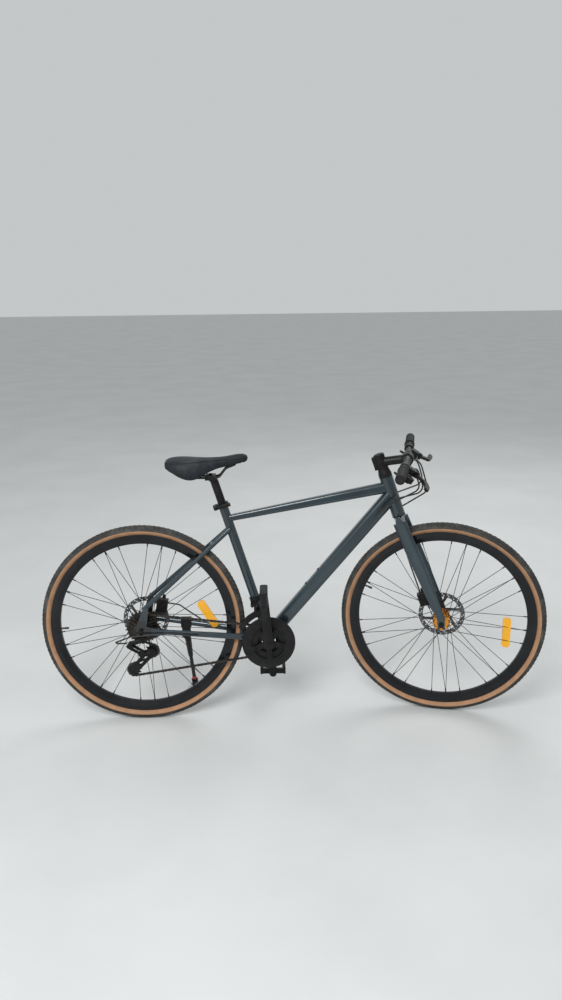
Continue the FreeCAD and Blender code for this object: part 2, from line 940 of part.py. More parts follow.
def tyre(valve_angle):
    """An open casing whose beads sit inside the rim's flanges, with the valve of its tube."""
    bead = "rim_half_width - rim_flange - bead_gap"
    inner_bead = f"{bead} - bead_thickness"
    foot = "rim_radius - rim_well_depth + bead_seat"
    lip = "rim_radius + bead_lip"
    middle = "tyre_radius - tyre_half_width"
    inner = "tyre_half_width - tyre_wall"
    outside = [(bead, foot), (bead, lip), ("tyre_half_width", middle)]
    inside = [(inner, middle), (inner_bead, lip), (inner_bead, foot)]
    corners = outside + [("0", "tyre_radius")] + [(f"-({u})", v) for u, v in reversed(outside)]
    corners += [(f"-({u})", v) for u, v in reversed(inside)] + [("0", "tyre_radius - tyre_wall")] + inside
    bulges = {index: "tyre_half_width" for index in (1, 2, 3, 4)}
    bulges.update({8: "-(tyre_half_width)", 9: f"-({inner})", 10: f"-({inner})", 11: "-(tyre_half_width)"})
    casing = turned((corners, bulges))
    reach = polar(valve_angle, 1)
    start = reach * (size.rim_radius - size.rim_depth - size.valve_reach)
    end = reach * value(foot)
    stem = cylinder(start, end, "valve_radius")
    cap = cylinder(start, start + reach * size.valve_reach / 2, "valve_radius + valve_cap_wall")
    return group(casing, fuse(stem, cap))


def rim(valve_angle):
    """A hollow deep section with two flanges, drilled for the valve."""
    inner = "rim_radius - rim_depth"
    well = "rim_radius - rim_well_depth"
    shoulder = f"{well} - rim_shoulder"
    half = [("rim_half_width - rim_flange", well), ("rim_half_width - rim_flange", "rim_radius"),
            ("rim_half_width", "rim_radius"), ("rim_half_width", shoulder), ("rim_nose_half_width", inner)]
    hollow = [("rim_half_width - rim_side_wall", f"{well} - rim_wall"),
              ("rim_half_width - rim_side_wall", shoulder),
              ("rim_nose_half_width", f"{inner} + rim_nose_wall")]
    hoop = turned((both_sides(half),), (both_sides(hollow),))
    reach = polar(valve_angle, 1)
    start = reach * (size.rim_radius - size.rim_depth - size.valve_reach)
    return cut(hoop, cylinder(start, reach * size.rim_radius, "valve_radius + valve_gap"))


def spoke_corners(right, left):
    """Flange side, elbow and rim end of the first spoke in each of the four sets."""
    pitch = FULL_TURN / size.spoke_count
    face = size.flange_thickness / 2
    for flange, side, shift in ((right, -1, 0), (left, 1, pitch)):
        for lead in (1, -1):
            start_angle = shift + (0 if lead > 0 else 2 * pitch)
            hole = polar(start_angle, size.spoke_circle)
            inner = hole + SIDE * side * (flange - lead * (face + size.spoke_head_gap))
            outer = hole + SIDE * side * (flange + lead * (face + size.spoke_elbow_reach))
            twist = lead * pitch * (2 * size.spoke_crossing + SPOKE_LEAN_SHARE)
            rim_point = polar(start_angle + twist, size.rim_radius - size.rim_depth)
            yield inner, outer, rim_point + SIDE * side * size.rim_drilling_offset


def around(count):
    """Turns about the wheel's axis."""
    return [Rotation(SIDE, -index * FULL_TURN / count) for index in range(int(count))]


def spoke_runs(right, left):
    """Both ends of every spoke's straight run."""
    turns = around(size.spoke_count / 4)
    runs = [(outer, rim_point) for inner, outer, rim_point in spoke_corners(right, left)]
    return [(turn.multVec(start), turn.multVec(end)) for start, end in runs for turn in turns]


def spokes(right, left):
    """Laced spokes with elbows through the flanges and nipples on the rim."""
    solids = []
    for inner, outer, rim_point in spoke_corners(right, left):
        run = (rim_point - outer).normalize()
        nipple_start = rim_point - run * (size.nipple_length - size.nipple_sink)
        shaft = Part.makeCylinder(size.spoke_radius, (nipple_start - outer).Length, outer, run)
        bend = Part.makeSphere(size.spoke_radius, outer)
        hook = Part.makeCylinder(size.spoke_radius, (inner - outer).Length, outer, inner - outer)
        head = Part.makeCylinder(size.spoke_radius * 2, size.spoke_head_thickness, inner, inner - outer)
        nipple = Part.makeCylinder(size.nipple_radius, size.nipple_length, nipple_start, run)
        spoke = shaft.multiFuse([bend, hook, head, nipple]).removeSplitter()
        for turn in around(size.spoke_count / 4):
            copy = spoke.copy()
            copy.Placement = Placement(Vector(), turn)
            solids.append(copy)
    return made(Part.makeCompound(solids))


def hub(right, left, end_right, end_left, rotor_face):
    """A barrel with two drilled flanges and a seat for the brake disc."""
    bore = "axle_radius + running_gap"
    thick = "flange_thickness / 2"
    flare = "hub_barrel_radius + hub_flare_rise"
    seat = "rotor_centre_radius - rotor_seat_step"
    corners = [(f"-({end_right})", bore), (f"-({end_right})", "hub_end_radius"),
               (f"-({right}) - {thick} - hub_neck_length", "hub_end_radius"),
               (f"-({right}) - {thick}", "hub_barrel_radius + hub_collar_rise"),
               (f"-({right}) - {thick}", "flange_radius"), (f"-({right}) + {thick}", "flange_radius"),
               (f"-({right}) + {thick}", flare), (f"-({right}) + hub_flare_length", "hub_barrel_radius"),
               (f"{left} - hub_flare_length", "hub_barrel_radius"), (f"{left} - {thick}", flare),
               (f"{left} - {thick}", "flange_radius"), (f"{left} + {thick}", "flange_radius"),
               (f"{left} + {thick}", seat), (rotor_face, seat),
               (rotor_face, "hub_end_radius"), (end_left, "hub_end_radius"), (end_left, bore)]
    shell = turned((corners,))
    pitch = FULL_TURN / size.spoke_count
    drills = []
    for flange, shift in ((-value(right), 0), (value(left), pitch)):
        for index in range(int(size.spoke_count / 2)):
            middle = polar(shift + 2 * pitch * index, size.spoke_circle)
            middle.y = flange - size.flange_thickness
            radius = size.spoke_radius + size.spoke_hole_gap
            drills.append(Part.makeCylinder(radius, 2 * size.flange_thickness, middle, SIDE))
    return cut(shell, made(Part.makeCompound(drills)))


def rotor():
    """A brake disc: a drilled band on slanted arms round a centre ring."""
    body = document.addObject("PartDesign::Body", "rotor")
    padded(body, "rotor_thickness", None, [("rotor_radius",), ("rotor_radius - rotor_band",)])
    arm = padded(body, "rotor_thickness", (outline("rotor_arm"),))
    round_about(body, arm, ROTOR_ARMS)
    padded(body, "rotor_thickness", None, [("rotor_centre_radius",), ("hub_end_radius + rotor_bore_gap",)])
    hole = sketch_in(body, "XZ_Plane")
    ring_line(hole, "rotor_hole_radius", ("0", "rotor_radius - rotor_hole_row_outer"))
    ring_line(hole, "rotor_hole_radius", ("rotor_hole_shift", "rotor_radius - rotor_hole_row_inner"))
    drill = body.newObject("PartDesign::Pocket", "drill")
    drill.Profile = hole
    drill.SideType = "Symmetric"
    bind(drill, Length="rotor_thickness * 3")
    round_about(body, drill, ROTOR_HOLES)
    return body


def reflector(centre, angle, right, left):
    """A clip-on reflector with rounded ends, grooved where the spokes pass."""
    long = "reflector_length / 2"
    tall = "reflector_height / 2"
    corners = [(f"-({long})", f"-({tall})"), (long, f"-({tall})"), (long, tall), (f"-({long})", tall)]
    lens = plate("reflector_thickness", (corners, {1: "reflector_end_radius", 3: "reflector_end_radius"}))
    lens.Placement = Placement(centre, Rotation(SIDE, -angle))
    radius = size.spoke_radius + size.reflector_groove_gap
    grooves = [Part.makeCylinder(radius, (end - start).Length, start, end - start)
               for start, end in spoke_runs(right, left)
               if centre.distanceToLine(start, end - start) < size.reflector_reach]
    return cut(lens, made(Part.makeCompound(grooves)))


def axle(width, right_end, left_end):
    """A solid axle with collars inside the dropouts and nuts outside them."""
    half = value(width) / 2
    outside = half + size.dropout_thickness
    tip = SIDE * (outside + size.axle_nut_length + size.axle_end)
    pieces = [cylinder(tip * -1, tip, "axle_radius")]
    for side, end in ((-1, right_end), (1, left_end)):
        start = SIDE * side * (value(end) + size.axle_collar_gap)
        pieces.append(cylinder(start, SIDE * side * half, "axle_collar_radius"))
        nut = document.addObject("Part::Prism", "nut")
        bind(nut, Circumradius="axle_nut_width / sqrt(3)", Height="axle_nut_length")
        nut.Polygon = NUT_SIDES
        nut.Placement = place(SIDE * side * outside, SIDE * side)
        pieces.append(nut)
    return fuse(*pieces)


# Chain path round the front ring, the two pulleys and the sprocket, seen from the right.

def pitch_radius(teeth):
    return teeth * size.chain_pitch / (2 * math.pi)


guide_axis = Vector(size.guide_pulley_forward, 0, -size.guide_pulley_below)


def chain_circles(cage_angle):
    """Centres and signed radii in running order; a clockwise wheel is positive."""
    small = pitch_radius(size.pulley_teeth)
    tension = guide_axis + polar(cage_angle, size.cage_length)
    return [(bracket, pitch_radius(RING_TEETH[0])), (tension, small), (guide_axis, -small),
            (rear_axle, pitch_radius(CHAIN_SPROCKET))]


def chain_runs(circles):
    """Heading and length of the straight run that leaves each wheel."""
    runs = []
    for index, (centre, radius) in enumerate(circles):
        ahead, ahead_radius = circles[(index + 1) % len(circles)]
        gap = ahead - centre
        lean = math.asin((radius - ahead_radius) / gap.Length)
        runs.append((math.atan2(gap.z, gap.x) - lean, gap.Length * math.cos(lean)))
    return runs


def chain_wraps(circles, runs):
    """Angle that the chain turns round each wheel."""
    wraps = []
    for index, (centre, radius) in enumerate(circles):
        turn = runs[index - 1][0] - runs[index][0]
        wraps.append((turn if radius > 0 else -turn) % (2 * math.pi))
    return wraps


def chain_length(cage_angle):
    circles = chain_circles(cage_angle)
    runs = chain_runs(circles)
    wraps = chain_wraps(circles, runs)
    return sum(run[1] for run in runs) + sum(abs(c[1]) * w for c, w in zip(circles, wraps))


def settled_cage():
    """The cage angle at which the chain is a whole number of link pairs, and that number."""
    links = 2 * round(chain_length(size.cage_angle) / size.chain_pitch / 2)
    back = size.cage_angle - size.cage_search_angle
    ahead = size.cage_angle + size.cage_search_angle
    for step in range(SEARCH_STEPS):
        middle = (back + ahead) / 2
        if chain_length(middle) > links * size.chain_pitch:
            back = middle
        else:
            ahead = middle
    return middle, links


cage_rest, link_count = settled_cage()
tension_axis = guide_axis + polar(cage_rest, size.cage_length)


def chain_point(distance, circles, runs, wraps):
    """The point of the path at a distance from the top of the front ring."""
    for index, (centre, radius) in enumerate(circles):
        heading_in = runs[index - 1][0]
        arc = abs(radius) * wraps[index]
        if distance < arc:
            turn = heading_in - math.copysign(distance / abs(radius), radius)
            return centre + polar(math.degrees(turn) + QUARTER_TURN, radius)
        distance -= arc
        heading, length = runs[index]
        if distance < length:
            start = centre + polar(math.degrees(heading) + QUARTER_TURN, radius)
            return start + polar(math.degrees(heading), distance)
        distance -= length


def chain_pins():
    circles = chain_circles(cage_rest)
    runs = chain_runs(circles)
    wraps = chain_wraps(circles, runs)
    total = chain_length(cage_rest)
    return [chain_point(total * index / link_count, circles, runs, wraps) for index in range(link_count)]


pins = chain_pins()


def tooth_phase(centre, radius):
    """The angle of a roller that lies on the wheel, so that the teeth stand between rollers."""
    seated = [pin for pin in pins if abs((pin - centre).Length - radius) < size.fit_tolerance]
    middle = seated[len(seated) // 2] - centre
    return math.degrees(math.atan2(middle.z, middle.x))


def link_plate(start, thickness):
    """Two flat-sided eyes joined by a plate, standing across the chain."""
    half = size.chain_pitch / 2
    eye = size.chain_eye_radius
    rounds = [Part.makeCylinder(eye, thickness, Vector(x, start, 0), SIDE) for x in (-half, half)]
    corner = Vector(-half, start, -eye * WEB_SHARE)
    web = Part.makeBox(size.chain_pitch, thickness, 2 * eye * WEB_SHARE, corner)
    return web.multiFuse(rounds).removeSplitter()


def chain():
    """Inner links with rollers and outer links with pins, by turns along the path."""
    half = size.chain_pitch / 2
    face = size.chain_inner_half
    wall = size.chain_plate
    reach = face + wall + size.chain_play
    inner = link_plate(-face - wall, wall)
    rollers = [Part.makeCylinder(size.roller_radius, 2 * face, Vector(x, -face, 0), SIDE)
               for x in (-half, half)]
    inner = inner.multiFuse([link_plate(face, wall)] + rollers)
    for x in (-half, half):
        bore = size.chain_pin_radius + size.chain_play
        inner = inner.cut(Part.makeCylinder(bore, 4 * reach, Vector(x, -2 * reach, 0), SIDE))
    outer = link_plate(-reach - wall, wall)
    rivets = [Part.makeCylinder(size.chain_pin_radius, 2 * reach + wall, Vector(x, -reach - wall / 2, 0), SIDE)
              for x in (-half, half)]
    outer = outer.multiFuse([link_plate(reach, wall)] + rivets)
    solids = []
    for index, start in enumerate(pins):
        end = pins[(index + 1) % link_count]
        angle = math.degrees(math.atan2(end.z - start.z, end.x - start.x))
        link = (inner if index % 2 else outer).copy()
        middle = (start + end) / 2
        link.Placement = Placement(Vector(middle.x, -size.chain_line, middle.z), Rotation(SIDE, -angle))
        solids.append(link)
    return made(Part.makeCompound(solids))


def toothed(teeth, phase, bore, at):
    """A disc whose tooth gaps are round seats for the rollers."""
    radius = pitch_radius(teeth)
    thickness = size.sprocket_thickness
    seat = size.roller_radius + size.roller_seat_gap
    spread = size.roller_seat_angle
    step = FULL_TURN / teeth
    tip = radius + size.tooth_height
    gaps = []
    for index in range(teeth):
        turn = phase + index * step
        middle = polar(turn, radius)
        low, bottom, high = [middle + polar(turn + HALF_TURN + lean, seat) for lean in (spread, 0, -spread)]
        before, after = [polar(turn + side * step * TOOTH_SHARE, tip) for side in (-1, 1)]
        gaps.append((before, low, bottom, high, after))
    edges = []
    for index, (before, low, bottom, high, after) in enumerate(gaps):
        following = gaps[(index + 1) % teeth][0]
        edges.append(Part.makeLine(before, low))
        edges.append(Part.Arc(low, bottom, high).toShape())
        edges.append(Part.makeLine(high, after))
        edges.append(Part.makeLine(after, following))
    disc = Part.Face(Part.Wire(edges)).extrude(SIDE * thickness)
    disc.translate(SIDE * (at - thickness / 2))
    return disc.cut(Part.makeCylinder(bore, thickness * 2, SIDE * (at - thickness), SIDE))


def cassette():
    """Seven sprockets on one carrier, the chain on the second largest."""
    phase = tooth_phase(rear_axle, pitch_radius(CHAIN_SPROCKET))
    first = -size.chain_line + size.sprocket_spacing
    bore = size.freewheel_radius + size.sprocket_bore_gap
    discs = [toothed(teeth, phase, bore, first - index * size.sprocket_spacing)
             for index, teeth in enumerate(CASSETTE_TEETH)]
    length = (len(CASSETTE_TEETH) - 1) * size.sprocket_spacing
    start = SIDE * (first - length)
    carrier = Part.makeCylinder(bore + size.sprocket_carrier_wall, length, start, SIDE)
    carrier = carrier.cut(Part.makeCylinder(bore, length, start, SIDE))
    return made(discs[0].multiFuse(discs[1:] + [carrier]))


def spider_turn(index):
    """The direction of one of the spider's arms, midway between two fifths of a turn from the crank."""
    return size.crank_angle + FULL_TURN / SPIDER_ARMS * index + HALF_TURN / SPIDER_ARMS


def chainrings():
    """Three rings held apart by two circles of posts."""
    phase = tooth_phase(bracket, pitch_radius(RING_TEETH[0]))
    discs = [toothed(teeth, phase, value(bore), -size.chain_line - index * size.ring_spacing)
             for index, (teeth, bore) in enumerate(zip(RING_TEETH, RING_BORES))]
    posts = []
    for index in range(SPIDER_ARMS):
        middle = -size.chain_line - size.ring_spacing
        near = polar(spider_turn(index), size.inner_post_circle) + SIDE * middle
        posts.append(Part.makeCylinder(size.inner_post_radius, size.ring_spacing, near, SIDE))
        end = -size.right_crank_place + size.post_end
        far = polar(spider_turn(index), size.post_circle) + SIDE * end
        posts.append(Part.makeCylinder(size.post_radius, middle - end, far, SIDE))
    return made(discs[0].multiFuse(discs[1:] + posts), Placement(bracket, Rotation()))


def pulley(centre):
    """A small toothed wheel with a wide hub."""
    phase = tooth_phase(centre, pitch_radius(size.pulley_teeth))
    bore = size.pulley_pin_radius + size.running_gap
    length = size.pulley_boss_length
    disc = toothed(int(size.pulley_teeth), phase, bore, 0)
    boss = Part.makeCylinder(size.pulley_boss_radius, length, SIDE * (-length / 2), SIDE)
    whole = disc.fuse(boss.cut(Part.makeCylinder(bore, 2 * length, SIDE * -length, SIDE)))
    return made(whole, Placement(centre - SIDE * size.chain_line, Rotation()))


# Frame.

def down_tube_top():
    """The point of the steering axis that the down tube aims at."""
    return head_bottom + head_up * (size.head_tube_length * size.down_tube_head_share)


def flat_sided(placement, high, wide):
    """A section with flat sides and round corners, from its half height and half width."""
    corner = f"({high}) * section_corner_share"
    flat = f"{high} - {corner}"
    side = f"{wide} - {corner}"
    corners = [(high, f"-({side})"), (high, side), (flat, wide), (f"-({flat})", wide), (f"-({high})", side),
               (f"-({high})", f"-({side})"), (f"-({flat})", f"-({wide})"), (flat, f"-({wide})")]
    section = document.addObject("Sketcher::SketchObject", "section")
    draw(section, corners, {index: corner for index in (1, 3, 5, 7)})
    section.Placement = placement
    return section


def tapered(start, end, start_half, end_half):
    """A flat-sided tube: its outside alone, and the tube with its wall."""
    solids = []
    for wall in ("", " - tube_wall"):
        solid = document.addObject("Part::Loft", "tube")
        solid.Sections = [flat_sided(place(base, end - start), *[text + wall for text in half])
                          for base, half in ((start, start_half), (end, end_half))]
        solid.Solid = True
        solid.Ruled = True
        solids.append(solid)
    return solids[0], cut(*solids)


def frame_tubes():
    """Head tube, top tube, down tube, seat tube and bottom bracket shell, mitred to each other."""
    margin = size.cut_margin
    head_blank = cylinder(head_bottom, head_top, "head_tube_radius")
    head_bore = cylinder(head_bottom - head_up * margin, head_top + head_up * margin,
                         "steerer_radius + head_bore_gap")
    seat_blank = cylinder(bracket, seat_top, "seat_tube_radius")
    post_bore = cylinder(bracket + seat_up * size.post_bore_start, seat_top + seat_up * margin,
                         "seatpost_radius + running_gap")
    half = SIDE * (size.bracket_width / 2)
    shell_blank = cylinder(bracket - half, bracket + half, "bracket_radius")
    shell = cut(shell_blank, cylinder(bracket - half * 2, bracket + half * 2, "bracket_bore"))
    down_blank, down = tapered(bracket, down_tube_top(), ("down_tube_height_low / 2", "down_tube_width / 2"),
                               ("down_tube_height_high / 2", "down_tube_width / 2"))
    reach = size.thread_reach
    bosses = [cylinder(base - out * size.boss_depth, base + out * size.boss_rise, "boss_radius")
              for base, out in bottle_bosses()]
    threads = [cylinder(base - out * reach, base + out * reach, "thread_radius")
               for base, out in bottle_bosses()]
    ports = [port_drill(*port) for port in PORTS]
    down = cut(fuse(down, *bosses), head_blank, shell_blank, seat_blank, *ports, *threads)
    rear = on_seat_tube(size.top_tube_rise)
    front = head_bottom + head_up * (size.head_tube_length * size.top_tube_head_share)
    top = tapered(rear, front, ("top_tube_height_rear / 2", "top_tube_width_rear / 2"),
                  ("top_tube_height_front / 2", "top_tube_width_front / 2"))[1]
    top = cut(top, head_blank, seat_blank, down_blank)
    return group(cut(head_blank, head_bore), top, down, cut(seat_blank, post_bore, shell_blank), shell)


def bottle_bosses():
    """Two places on the upper side of the down tube, and the way out of it."""
    axis = down_tube_top() - bracket
    way = Vector(axis).normalize()
    out = Vector(-way.z, 0, way.x)
    growth = (size.down_tube_height_high - size.down_tube_height_low) / axis.Length
    along = (size.boss_place, size.boss_place + size.boss_spacing)
    return [(bracket + way * distance + out * ((size.down_tube_height_low + growth * distance) / 2), out)
            for distance in along]


chainstay_front = bracket + point("chainstay_front")
chainstay_rear = point("chainstay_rear")
seatstay_top = on_seat_tube(size.seatstay_rise) + point("seatstay_top")
seatstay_rear = point("seatstay_rear")


def stay(start, end, front_half, rear_half):
    return loft((place(start, end - start), *front_half), (place(end, end - start), *rear_half))


def chainstay(flip=Vector):
    """The left chainstay, or its mirror image."""
    return stay(flip(chainstay_front), flip(chainstay_rear), ("stay_height_front / 2", "stay_width_front / 2"),
                ("stay_height_rear / 2", "stay_width_rear / 2"))


def slotted(corners, first):
    """An outline with an axle slot, open downwards, put in after its first few corners."""
    slot = "axle_radius + dropout_slot_gap"
    foot = corners[first - 1][1]
    notch = [(f"-({slot})", foot), (f"-({slot})", "0"), (slot, "0"), (slot, foot)]
    return corners[:first] + notch + corners[first:], {first + 1: f"-({slot} + round_margin)"}


def dropout(hanger):
    """A plate that joins the two stays behind the axle, with a rack eyelet above the slot."""
    eyelet = ("thread_radius", outline("rack_eyelet")[0])
    body = plate("dropout_thickness", slotted(outline("dropout"), 1), [eyelet])
    if not hanger:
        return body
    return fuse(body, plate("dropout_thickness", (outline("hanger"), {1: "hanger_bulge"})))


def rear_triangle():
    """Two chainstays, two seatstays, their bridges and the two dropouts."""
    stays = []
    ends = []
    half = SIDE * size.bracket_width
    shell = cylinder(bracket - half, bracket + half, "bracket_radius")
    seat = cylinder(bracket, seat_top, "seat_tube_radius")
    for side, flip in ((-1, mirrored), (1, Vector)):
        end = dropout(side < 0)
        end.Placement = Placement(SIDE * side * (size.rear_hub_width + size.dropout_thickness) / 2, Rotation())
        round_half = ("seatstay_radius", "seatstay_side_radius")
        high = stay(flip(seatstay_top), flip(seatstay_rear), round_half, round_half)
        stays += [cut(chainstay(flip), shell, end), cut(high, seat, end)]
        ends.append(end)
    bridges = []
    for start, end, share in ((seatstay_top, seatstay_rear, size.seat_bridge_share),
                              (chainstay_front, chainstay_rear, size.chain_bridge_share)):
        middle = start + (end - start) * share
        bridges.append(cut(cylinder(middle, mirrored(middle), "bridge_radius"), *stays))
    return group(*stays, *ends, *bridges)


def headset():
    """A bearing cover on each end of the head tube, the lower one thin."""
    covers = []
    for base, height in ((crown_race, "lower_cover_height"), (head_top, "headset_height")):
        cover = turned((ring("steerer_radius + running_gap", "head_tube_radius", "0", height),))
        cover.Placement = place(base, head_up, SIDE)
        covers.append(cover)
    return group(*covers)


def bracket_bearings():
    """Two threaded cups in the bottom bracket shell, which carry the spindle."""
    cups = []
    face = "bracket_width / 2"
    bore = "spindle_radius + running_gap"
    flange = "bracket_radius - cup_step"
    for side in (-1, 1):
        corners = [(f"{face} - cup_depth", bore), (f"{face} + cup_flange", bore),
                   (f"{face} + cup_flange", flange), (face, flange), (face, "bracket_bore"),
                   (f"{face} - cup_depth", "bracket_bore")]
        cup = turned((corners,))
        cup.Placement = place(bracket, SIDE * side, SIDE)
        cups.append(cup)
    return group(*cups)


clamp_behind = polar(HALF_TURN - size.seat_angle + QUARTER_TURN, 1)
clamp_reach = size.seat_tube_radius + size.clamp_ear_place
clamp_middle = seat_top - seat_up * (size.clamp_height / 2) + clamp_behind * clamp_reach
clamp_pivot = clamp_middle - SIDE * size.cam_place


def seat_clamp():
    """A split collar round the top of the seat tube, with ears for the quick release at the back."""
    height = seat_up * size.clamp_height
    middle = clamp_middle
    turn = Rotation(Vector(0, 0, 1), seat_up)
    ear = SIDE * (size.clamp_ear_width / 2)
    collar = cylinder(seat_top - height, seat_top, "seat_tube_radius + clamp_wall")
    ears = box(middle, ("clamp_ear_length", "clamp_ear_width", "clamp_ear_height"), turn)
    slot = box(middle - clamp_behind * size.clamp_slot_inset,
               ("clamp_slot_length", "clamp_slot_width", "clamp_height * 2"), turn)
    right_end = middle - SIDE * size.skewer_right
    skewer = cylinder(right_end, middle + SIDE * size.skewer_left, "skewer_radius")
    head = cylinder(right_end, middle - ear, "skewer_head_radius")
    nut = cylinder(middle + ear, middle + ear + SIDE * size.skewer_nut_length, "skewer_nut_radius")
    drill = cylinder(middle - ear * 2, middle + ear * 2, "skewer_radius + running_gap")
    blank = cylinder(seat_top - height * 2, seat_top + height, "seat_tube_radius + running_gap")
    return group(cut(fuse(collar, ears), blank, slot, drill), fuse(skewer, head, nut))


def seat_clamp_lever():
    """A cam lever that lies forward along the right side of the collar."""
    half = seat_up * size.cam_half_height
    cam = cylinder(clamp_pivot - half, clamp_pivot + half, "cam_radius")
    tip = clamp_pivot - clamp_behind * size.cam_lever_length - SIDE * size.cam_lever_flare
    arm = loft((place(clamp_pivot, tip - clamp_pivot), "cam_lever_root_half", "cam_lever_root_thickness"),
               (place(tip, tip - clamp_pivot), "cam_lever_tip_half", "cam_lever_tip_thickness"))
    return fuse(cam, arm)


# Fork, stem, handlebar and controls.

blade_top = crown_race - head_up * (size.crown_height / 2) + SIDE * size.blade_spread_top
blade_tip = front_axle + SIDE * ((size.front_hub_width + size.dropout_thickness) / 2) + point("blade_tip")


def fork():
    """Steerer with crown, two raked blades and two dropouts."""
    column = cylinder(crown_race - head_up * size.steerer_root, stem_top - head_up * size.steerer_top_gap,
                      "steerer_radius")
    bore = cylinder(crown_race + head_up * size.steerer_bore_start, stem_top, "steerer_radius - steerer_wall")
    middle = crown_race - head_up * (size.crown_height / 2)
    shoulder = ("crown_height / 2", "blade_depth_top / 2 + crown_swell")
    ends = ("crown_height / 2 - crown_drop", "blade_depth_top / 2 - crown_swell")
    half = SIDE * (size.blade_spread_top + size.crown_overhang)
    turn = Rotation(head_forward, SIDE, head_up, "ZYX")
    arch = loft((across(middle - half, turn), *ends), (across(middle, turn), *shoulder),
                (across(middle + half, turn), *ends))
    crown = fuse(cut(column, bore), cut(arch, cylinder(crown_race, stem_top, "crown_clear_radius")))
    solids = [crown]
    for flip in (Vector, mirrored):
        top = flip(blade_top)
        tip = flip(blade_tip)
        waist = top + (tip - top) * size.blade_waist_share
        blade = loft((place(top, tip - top), "blade_depth_top / 2", "blade_width_top / 2"),
                     (place(waist, tip - top), "blade_depth_top / 2 - blade_waist",
                      "blade_width_top / 2 - blade_waist"),
                     (place(tip, tip - top), "blade_depth_tip / 2", "blade_width_tip / 2"))
        end = fork_dropout()
        end.Placement = Placement(Vector(front_axle.x, tip.y, 0), Rotation())
        eyelet = tip + (top - tip) * size.eyelet_share
        eyelet.y = 0
        drill = cylinder(eyelet, eyelet + SIDE * tip.y * 2, "thread_radius")
        solids += [cut(blade, crown, end, drill), end]
    return group(*solids)


def across(base, turn):
    """A section plane that faces the bicycle's side."""
    return Placement(base, turn.multiply(Rotation(Vector(1, 0, 0), -QUARTER_TURN)))


def fork_dropout():
    return plate("dropout_thickness", slotted(outline("fork_dropout"), 2))


stem_reach = polar(size.stem_rise_angle, 1)
clamp_half = SIDE * size.bar_clamp_half_length
BAR_CLAMP_BLOCK = ("bar_clamp_cut", "bar_clamp_cut", "bar_clamp_cut")


def bar_clamp():
    """The outside of the bar clamp and the bore for the bar."""
    barrel = cylinder(bar_centre - clamp_half, bar_centre + clamp_half, "bar_clamp_radius + faceplate_wall")
    hold = cylinder(bar_centre - clamp_half * 2, bar_centre + clamp_half * 2, "bar_clamp_radius + running_gap")
    return barrel, hold


def stem():
    """Clamp on the steerer, neck and rear half of the bar clamp, with spacer and cap."""
    margin = head_up * size.cut_margin
    spacer = cut(loft((place(spacer_bottom, head_up), "spacer_foot_radius", "spacer_foot_radius"),
                      (place(stem_bottom, head_up), "stem_clamp_radius", "stem_clamp_radius")),
                 cylinder(spacer_bottom - margin, stem_bottom + margin, "steerer_radius + running_gap"))
    column = cylinder(stem_bottom, stem_top, "stem_clamp_radius")
    middle = (stem_bottom + stem_top) / 2
    turn = Rotation(Vector(0, 0, 1), head_up)
    neck = cylinder(middle, bar_centre, "stem_neck_radius")
    barrel, hold = bar_clamp()
    back = box(middle - head_forward * size.pinch_place, ("pinch_length", "pinch_width", "pinch_height"), turn)
    bore = cylinder(stem_bottom - margin, stem_top + margin, "steerer_radius + running_gap")
    front = box(bar_centre + stem_reach * (size.bar_clamp_cut / 2 + size.bar_clamp_face), BAR_CLAMP_BLOCK,
                Rotation(Vector(1, 0, 0), stem_reach))
    slot = box(middle - head_forward * size.pinch_slot_place,
               ("pinch_slot_length", "pinch_slot_width", "stem_clamp_height * 2"), turn)
    body = cut(fuse(column, neck, barrel, back), bore, hold, front, slot)
    foot = "stem_clamp_radius - stem_cap_step"
    edge = f"{foot} - stem_cap_chamfer"
    cap = turned(([("0", "0"), ("0", foot), ("stem_cap_height", edge), ("stem_cap_height", "0")],))
    cap.Placement = place(stem_top, head_up, SIDE)
    return group(spacer, body, cap)


def faceplate():
    """The front half of the bar clamp, with four bolt seats."""
    up = polar(size.stem_rise_angle + QUARTER_TURN, size.bar_clamp_radius + size.faceplate_bolt_rise)
    barrel, hold = bar_clamp()
    back = box(bar_centre + stem_reach * (size.bar_clamp_face + size.bar_clamp_gap - size.bar_clamp_cut / 2),
               BAR_CLAMP_BLOCK, Rotation(Vector(1, 0, 0), stem_reach))
    bolts = []
    length = stem_reach * size.faceplate_bolt_length
    for height in (-1, 1):
        for side in (-1, 1):
            start = bar_centre + up * height + SIDE * side * size.faceplate_bolt_spread
            start += stem_reach * size.faceplate_bolt_start
            bolts.append(cylinder(start, start + length, "faceplate_bolt_radius"))
    return cut(fuse(barrel, *bolts), hold, back)


def on_bar(distance):
    """The point of the bar's axis at a distance to the left of the middle."""
    way = bar_end - bar_bend
    place_on = bar_bend + way * ((abs(distance) - bar_bend.y) / way.y)
    return place_on if distance > 0 else mirrored(place_on)


def handlebar():
    """A flat bar, thick at the stem, with ends that rise and sweep back a little."""
    half = [("bar_bulge_half_length", "0"), ("bar_bulge_half_length", "bar_radius"),
            ("bar_bulge_flat_half", "bar_clamp_radius")]
    middle = turned((both_sides(half),))
    middle.Placement = Placement(bar_centre, Rotation())
    inside = bar_end - (bar_end - bar_bend).normalize() * size.grip_end_wall
    pieces = [middle]
    for flip in (Vector, mirrored):
        knee = bind(document.addObject("Part::Sphere", "knee"), Radius="bar_radius")
        knee.Placement.Base = flip(bar_bend)
        pieces += [knee, cylinder(flip(bar_bend), flip(inside), "bar_radius")]
    return fuse(*pieces)


